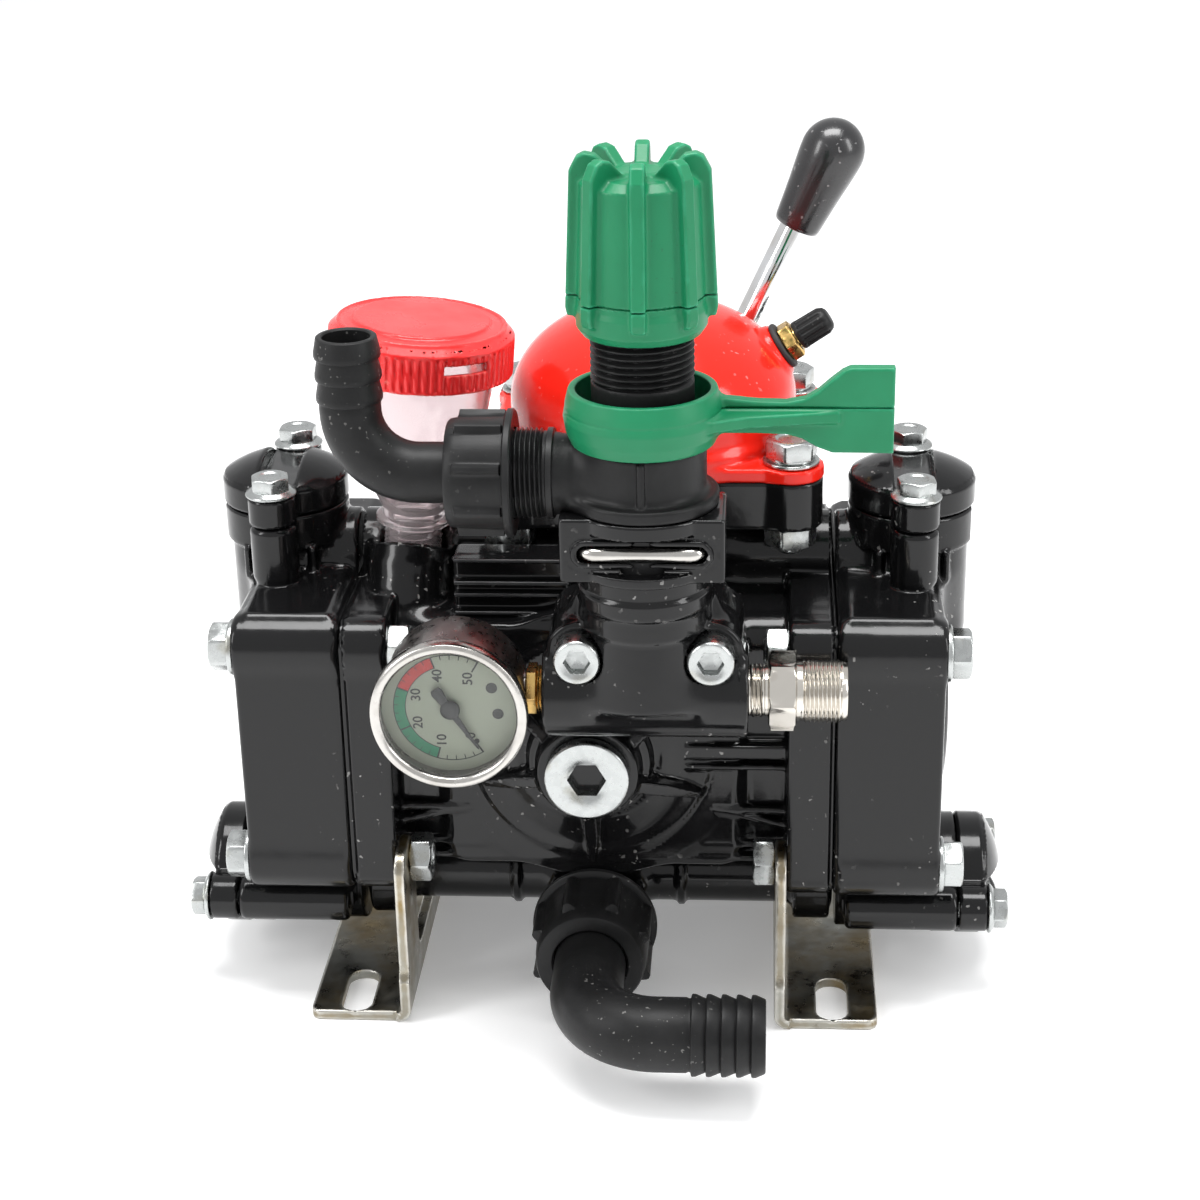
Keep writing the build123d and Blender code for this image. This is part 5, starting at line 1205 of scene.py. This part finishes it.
zero = math.radians(-57)
ahead, aside = np.array((math.cos(zero), 0, math.sin(zero))), np.array((-math.sin(zero), 0, math.cos(zero)))
centre = np.array((gauge_x, -100.1, gauge_z))
shape_points = [(-9, 1.5), (-7.6, 2.1), (-5, 1.7), (-2, 1.4), (6, 0.95), (16.4, 0.32), (17.2, 0)]
ring_points = shape_points + [(a, -b) for a, b in shape_points[::-1][1:]]
verts = []
for lift in (0, -0.45):
    verts += [centre + a * ahead + b * aside + np.array((0, lift, 0)) for a, b in ring_points]
count = len(ring_points)
faces = [list(range(count)), list(range(2 * count - 1, count - 1, -1))]
faces += [[i, (i + 1) % count, count + (i + 1) % count, count + i] for i in range(count)]
hub = lathe([(98.9, 0), (98.9, 2.0), (99.6, 3.3), (100.7, 3.3), (101.2, 2.6), (101.4, 1.2), (101.4, 0)],
            gauge_at, (0, -1, 0), 32)
pin = lathe([(95.5, 0), (95.5, 1), (99.0, 1), (99.0, 0)], gauge_at, (0, -1, 0), 24)
needle_black = printed("needle_black", (0.01, 0.01, 0.011))
solid("gauge_pointer", [(np.array(verts), faces), hub, pin], needle_black, "gauge_needle", "needle",
      ["gauge_needle"], 0.05)

# ---------------------------------------------------------------- pressure regulator
# The body is one black nylon moulding with a finely threaded neck and the threaded bypass port.
# It stands in the control unit's socket, held by the clip.
bypass_z = 218.8


def regulator_field(p):
    x, y, z = p
    body = rod(p, (*unit, 174.5), (*unit, 211), 18.95, 0.6)
    groove = np.maximum(np.abs(z - clip_z) - 2.8, 16.8 - np.hypot(x - unit_x, y - unit_y))
    body = np.maximum(body, -groove)
    body = melt(body, rod(p, (*unit, 209.3), (*unit, 213.9), 25.2, 1.2), 0.8)
    body = melt(body, rod(p, (*unit, 204), (*unit, 230.2), 21, 1.2), 3)
    body = melt(body, rod(p, (*unit, 225), (*unit, 252), 17.0, 0.6), 0.8)
    body = melt(body, block(p, (unit_x, unit_y - 20.6, 221), (2.6, 3.6, 17), 0.8), 0.6)
    body = melt(body, rod(p, (unit_x, unit_y - 16.9, 229), (unit_x, unit_y - 16.9, 242), 2.4, 1.0), 0.6)
    port = rod(p, (unit_x, unit_y, bypass_z), (unit_x - 29, unit_y, bypass_z), 12.4, 1.0)
    body = melt(body, port, 7)
    flare = rod(p, (unit_x - 24, unit_y, bypass_z), (unit_x - 30.5, unit_y, bypass_z), 12.4, 0.6, 14.2)
    body = melt(body, flare, 2)
    body = carve(body, rod(p, (*unit, 202), (*unit, 260), 12.5, 0.2), 0.4)
    body = carve(body, rod(p, (*unit, 160), (*unit, 203), 8, 0.2), 0.4)
    return carve(body, rod(p, (unit_x - 8, unit_y, bypass_z), (unit_x - 40, unit_y, bypass_z), 8, 0.2), 0.4)


regulator = cast("regulator_body_moulding", regulator_field, (-12, -112, 172), (52, -53, 254), 0.8)
regulator.data.materials.append(black_plastic)
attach(regulator, "housing")
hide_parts("regulator_body")
rows = [(250, 12.6), (250, 15.6)] + thread_rows(250.2, 288, 2.3, 15.5, 17.1, 96, 10, 0.25)
rows += [(288.6, 15.3), (289.4, 14.5), (289.4, 13.2), (288.8, 12.6)]
solid("regulator_neck_thread", [lathe(rows, (*unit, 0), (0, 0, 1), 96)], black_plastic, "housing",
      "black_plastic", ["regulator_body"], sharp=45)
rows = [(29.4, 8.2), (29.4, 14.8), (29.8, 15.3), (31.6, 15.3), (32.0, 14)]
rows += thread_rows(32.2, 58.6, 1.65, 14.0, 15.1, 96, 8, 0.25)
rows += [(59.2, 13.8), (60, 13.2), (60, 8.8), (59.5, 8.2)]
solid("bypass_port_thread", [lathe(rows, (unit_x, unit_y, bypass_z), (-1, 0, 0), 96)], black_plastic,
      "housing", "black_plastic", ["regulator_body"], sharp=45)

# ---------------------------------------------------------------- relief lever and pressure knob
# Both are green mouldings. The lever's ring turns around the body and its arm ends in a paddle.
# The knob's eight ribs curl inwards over its top; a fine parting line runs round each.


def lever_field(p):
    x, y, z = p
    r = np.hypot(x - unit_x, y - unit_y)
    body = outline(r, z, [(22.8, 231.4), (23.4, 231.4), (24.9, 235), (25.7, 239.7), (24.9, 244.7),
                          (24.0, 248.4), (22.8, 248.4)]) - 0.7
    top = np.interp(x, [45, 60, 69, 75, 79, 83, 87, 89.5, 104],
                    [246.2, 244.6, 244.4, 245.6, 248, 251.6, 254.8, 256, 256])
    low = np.interp(x, [45, 60, 69, 74, 79, 84, 104], [233.6, 233.6, 233.2, 231.8, 228.8, 226.9, 226.7])
    flat = np.maximum(np.maximum(z - top, low - z) * 0.86, np.maximum(unit_x + 23.2 - x, x - 104))
    arm = thick(flat, np.abs(y - unit_y) - 2.5, 0.9)
    body = melt(body, arm, 2.0)
    half = np.interp(x, [45, 56, 72, 86], [14.5, 9.4, 6.0, 3.4])
    web = thick(np.maximum(np.abs(y - unit_y) - half, np.maximum(44 - x, x - 86)) * 0.9,
                np.abs(z - 239.5) - 2.0, 0.8)
    body = melt(body, web, 2.0)
    body = np.maximum(body, 22.15 - r)
    quarter = np.maximum(np.maximum(17.95 - r, r - 23), np.maximum(y - unit_y, (x - unit_x) + 3))
    ledge = thick(quarter, np.abs(z - 241) - 3, 0.6)
    seam = np.abs(z - 242.4) - 0.16
    body = melt(body, ledge, 0.8)
    return carve(body, np.maximum(seam, 25.9 - r), 0.3)


lever = cast("relief_lever_moulding", lever_field, (-8, -112, 225), (107, -52, 258), 0.72)
green_colour = (0.006, 0.165, 0.068)
green_plastic, shader, tree = principled("green_plastic", green_colour, 0.38, ior_level=0.32)
shader.inputs["Subsurface Weight"].default_value = 0.08
shader.inputs["Subsurface Radius"].default_value = (0.0008, 0.003, 0.0015)
base = tinted(tree, shader, spread_value(tree, noise(tree, 50, 4), 0.35, 0.75, 0, 1), green_colour,
              (0.008, 0.19, 0.08))
# Sharp edges painted a brighter green: partly rubbing wear, partly painted highlight.
rubbed_and_lit_edges = place_group(tree, edge_wear_and_highlight_tree, sharpness=0.53, amount=0.45)
base = tinted(tree, shader, rubbed_and_lit_edges, base, (0.03, 0.30, 0.16))
tinted(tree, shader, place_group(tree, dust_tree, scale=700, amount=0.35), base, (0.02, 0.05, 0.03))
tree.links.new(spread_value(tree, noise(tree, 45, 3), 0.3, 0.7, 0.31, 0.47), shader.inputs["Roughness"])
bumped(tree, shader, place_group(tree, skin_tree, coarse=300, fine=2400, share=0.4), 0.12, 0.0004)
lever.data.materials.append(green_plastic)
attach(lever, "relief_lever")
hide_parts("relief_lever")

knob_step = 276.4


def knob_field(p):
    x, y, z = p[0] - unit_x, p[1] - unit_y, p[2]
    r = np.hypot(x, y)
    body = outline(r, z, [(-5, 268.4), (19.0, 268.4), (20.7, 270.8), (20.8, 276.0), (20.2, 278.2),
                          (18.6, 316.6), (15.9, 318.8), (-5, 318.8)]) - 0.7
    turn = np.arctan2(y, x) % (math.pi / 4)
    turn = np.minimum(turn, math.pi / 4 - turn)
    off, out = r * np.sin(turn), r * np.cos(turn)
    rib = outline(out, z, [(17.5, 274.2), (23.4, 274.2), (23.9, 276.4), (21.8, 320.5), (19.6, 324.6),
                           (17.6, 325.6), (14.6, 325.0), (8.3, 319.0), (7.8, 316.0), (17, 315)]) - 0.8
    body = melt(body, thick(rib, off - 2.4, 0.9), 1.6)
    body = melt(body, thick(r - 7.6, np.abs(z - 316) - 4.4, 1.2), 3)
    body = carve(body, np.maximum(np.abs(z - knob_step - 4) - 0.18, 19.9 - r), 0.3)
    hollow = outline(r, z, [(-5, 200), (17.9, 200), (17.9, 294.4), (14, 304), (-5, 304)])
    return carve(body, hollow, 0.5)


knob = cast("pressure_knob_moulding", knob_field, (-5, -109, 261), (49, -55, 329), 0.72)
knob.data.materials.append(green_plastic)
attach(knob, "pressure_knob")
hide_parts("pressure_knob")

# ---------------------------------------------------------------- bypass
# The same nylon as the suction side: a union nut with raised bars for grip, and an elbow whose
# tail has three barbs. Each barb is widest at its lower edge.
nut_profile = [(21, 15.5), (21, 21), (21.5, 21.5), (23.2, 21.5), (23.7, 20.9), (23.9, 19.1), (24.4, 19.0),
               (30, 18.9), (36, 18.8), (39.6, 18.6), (40.2, 18.5), (42.4, 18.1), (43.2, 17.3), (43.2, 11.2),
               (42.7, 10.7), (41, 10.7), (41, 15.5)]
rows, steps = union_nut(nut_profile, 8, 0, 21.2, 4.0, 24.2, 39.7)
solid("bypass_nut", [lathe(rows, (0, unit_y, bypass_z), (-1, 0, 0), steps)], black_plastic, "housing",
      "black_plastic", ["bypass_union_nut"])
bends = [(-38.4, unit_y, bypass_z), (-75.1, unit_y, bypass_z), (-75.1, unit_y, 266.2)]
at, first, arc, last = route(bends, 22)
end = first + arc + last
tail = end - 22.2
rows = [(0, 15.0), (2.3, 15.0), (2.3, 10.3)] + [(s, 10.3) for s in np.linspace(3, first, 3)]
rows += [(s, 10.3) for s in np.linspace(first, first + arc, 17)[1:]]
rows += [(tail - 1.2, 10.3), (tail - 0.5, 10.1)]
for i in range(3):
    near = tail + i * 7.4
    rows += [(near, 10.1), (near + 0.35, 10.9), (near + 0.9, 11.1), (near + 2.4, 11.05), (near + 7.1, 10.1)]
rows += [(end, 9.7), (end, 8.5), (end - 0.5, 8)] + [(s, 8) for s in np.linspace(end - 8, first + arc, 3)]
rows += [(s, 8) for s in np.linspace(first + arc, first, 13)[1:]] + [(0, 8)]
solid("bypass_elbow_tail", [swept(at, rows, (0, 1, 0))], black_plastic, "bypass_elbow", "black_plastic",
      ["bypass_elbow"])

# ---------------------------------------------------------------- clutch
# Behind the crankcase a cast housing holds the cam ring that the lever turns; its cover carries
# the input shaft, which is ground steel.


def clutch_field(p):
    x, y, z = p
    r = np.hypot(x, z - axis_z)
    body = plate(p, 1, (0, 54, axis_z), (104, 8, 96), 8, 1.2)
    body = melt(body, rod(p, (0, 52, axis_z), (0, 99.7, axis_z), 48, 1.4), 4)
    for sx in (-1, 1):
        for sz in (-1, 1):
            bolt_x, bolt_z = sx * 44, axis_z + sz * 41
            body = melt(body, rod(p, (bolt_x, 50.2, bolt_z), (bolt_x, 58, bolt_z), 9.6, 1), 2)
    for angle in range(0, 360, 45):
        if angle != 90:
            a = math.radians(angle + 22.5)
            u = x * math.cos(a) + (z - axis_z) * math.sin(a)
            v = -x * math.sin(a) + (z - axis_z) * math.cos(a)
            reach = np.maximum(44 - u, u - 50.5 + (y - 58) * 0.06)
            rib = thick(np.maximum(np.abs(v) - 1.8, reach), y - 82, 0.8)
            body = melt(body, np.maximum(rib, 54 - y), 2)
    body = carve(body, rod(p, (0, 56, axis_z), (0, 110, axis_z), 42, 0.5), 0.8)
    opening = np.maximum(82 - y, np.maximum(np.abs(x) * 0.81 - (z - axis_z) * 0.59, 1 - (z - axis_z)))
    body = carve(body, opening, 1.2)
    body = carve(body, rod(p, (0, 40, axis_z), (0, 57, axis_z), 15, 0.3), 0.8)
    for angle in (30, 150, 270):
        a = math.radians(angle)
        place = (45.4 * math.cos(a), 75, axis_z + 45.4 * math.sin(a))
        start = (40 * math.cos(a), 75, axis_z + 40 * math.sin(a))
        body = carve(body, rod(p, start, place, 4, 0.5), 0.4)
    spigot = thick(np.abs(r - 30.5) - 7.3, np.abs(y - 45) - 6.5, 0.5)
    return melt(body, spigot, 0.5)


clutch = cast("clutch_housing_casting", clutch_field, (-55, 36, 46), (55, 103, 156), 1.15)
clutch.data.materials.append(black_paint)
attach(clutch, "housing")
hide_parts("clutch_housing")
cover_rows = [(100.05, 21), (100.05, 47.4), (100.6, 48), (104.6, 48), (105.6, 47.4), (106, 46.6), (106, 33),
              (106.6, 31), (108, 29.6), (115, 28), (116.4, 27.4), (117, 26.2), (117, 12.8), (116.5, 12),
              (113, 12), (113, 21)]
solid("clutch_end_cover", [lathe(cover_rows, (0, 0, axis_z), (0, 1, 0), 96)], black_paint, "housing",
      "black_paint", ["clutch_cover"], 0.3)
steel = plated("steel", (0.42, 0.42, 0.43), (0.33, 0.31, 0.28), 0.24, 0.5, 0.8)
t = (np.linspace(0, 2 * math.pi, 64, endpoint=False) + math.pi / 4) % (math.pi / 2) - math.pi / 4
square = 7.1 / np.cos(t)
rows = [(51, 0), (51, 5.5), (51.4, 5.9), (65, 5.9), (65, square), (98.6, square), (99.2, 10.95),
        (117.6, 10.95),
        (118, 10.4), (118.2, 9.95), (138, 9.95), (139.1, 9), (139.1, 2.6), (137.4, 1.2), (137.4, 0)]
solid("drive_shaft", [lathe(rows, (0, 0, axis_z), (0, 1, 0), 64)], steel, "input_shaft", "steel",
      ["input_shaft"], 0.15)

# ---------------------------------------------------------------- lever
# A chromed rod screwed into the cam ring, with a black phenolic grip moulded onto its end.
lean = math.radians(25.0)
lever_dir = (math.sin(lean), 0, math.cos(lean))
lever_at = (0, 91, axis_z)
chrome, shader, tree = principled("chrome", (0.78, 0.79, 0.80), 0.07, metal=1.0)
smear = spread_value(tree, noise(tree, 130, 5), 0.45, 0.8, 0.05, 0.3)
tree.links.new(smear, shader.inputs["Roughness"])
clouded = spread_value(tree, noise(tree, 60, 5), 0.5, 0.8, 0, 1)
tinted(tree, shader, clouded, (0.78, 0.79, 0.80), (0.60, 0.57, 0.53))
bumped(tree, shader, place_group(tree, skin_tree, coarse=200, fine=2600, share=0.3), 0.05, 0.0003)
rows = [(51, 0), (51, 4.5), (51.5, 4.9), (63.6, 4.9), (63.6, 5.2), (64.3, 6), (180, 6), (180, 4.5),
        (204.4, 4.5), (205, 4), (205, 0)]
solid("lever_chrome_rod", [lathe(rows, lever_at, lever_dir, 48)], chrome, "clutch_lever", "chrome",
      ["lever_rod"], 0.2)
grip_black, shader, tree = principled("grip_black", (0.011, 0.011, 0.012), 0.26, coat=0.3)
tree.links.new(spread_value(tree, noise(tree, 60, 3), 0.3, 0.7, 0.18, 0.36), shader.inputs["Roughness"])
dusty = place_group(tree, dust_tree, scale=500, amount=0.4)
tinted(tree, shader, dusty, (0.011, 0.011, 0.012), (0.4, 0.4, 0.4))
bumped(tree, shader, place_group(tree, skin_tree, coarse=260, fine=2200, share=0.4), 0.1, 0.0004)
t = np.linspace(0, 2 * math.pi, 96, endpoint=False)
flash = 0.12 * np.exp(-((np.minimum(np.abs(t - math.pi / 2), np.abs(t - 3 * math.pi / 2))) / 0.045) ** 2)
rows = [(180, 6.1), (174.3, 6.1), (174, 6.6), (174, 8.3), (174.4, 8.8), (176, 9.25 + flash),
        (182, 9.8 + flash),
        (190, 10.6 + flash), (198, 11.6 + flash), (203, 12.15 + flash), (206.5, 12.35 + flash)]
for a in np.radians(range(8, 89, 8)):
    rows.append((206.5 + 12.75 * math.sin(a), 12.35 * math.cos(a) + flash * math.cos(a)))
rows += [(219.2, 0), (205.4, 0), (205.4, 4.7), (180, 4.7)]
solid("lever_black_grip", [lathe(rows, lever_at, lever_dir, 96)], grip_black, "clutch_lever",
      "grip_plastic", ["lever_grip"], sharp=50)

# ---------------------------------------------------------------- carried parts
# The working parts inside keep their CAD shape; each takes the finish of what it is made of.
aluminium = plated("aluminium", (0.60, 0.61, 0.63), (0.48, 0.48, 0.49), 0.33, 0.45, 0.8)
carried = {
    "crankshaft": steel, "eccentric_bearing": steel, "shaft_bearings": steel, "piston_yoke": steel,
    "cylinder_liners": steel, "regulator_spring": steel, "valve_springs": steel, "dog_sleeve": steel,
    "cam_ring": steel, "delivery_disc_left": stainless, "delivery_disc_right": stainless,
    "suction_disc_left": stainless, "suction_disc_right": stainless, "pistons": aluminium,
    "diaphragm_plates": aluminium, "diaphragms": rubber, "accumulator_membrane": rubber,
    "valve_cages": black_plastic, "regulator_plunger": brass, "spring_cap": brass, "shift_collar": brass,
}
for node, material in carried.items():
    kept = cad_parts[node]
    kept.data.materials.clear()
    kept.data.materials.append(material)
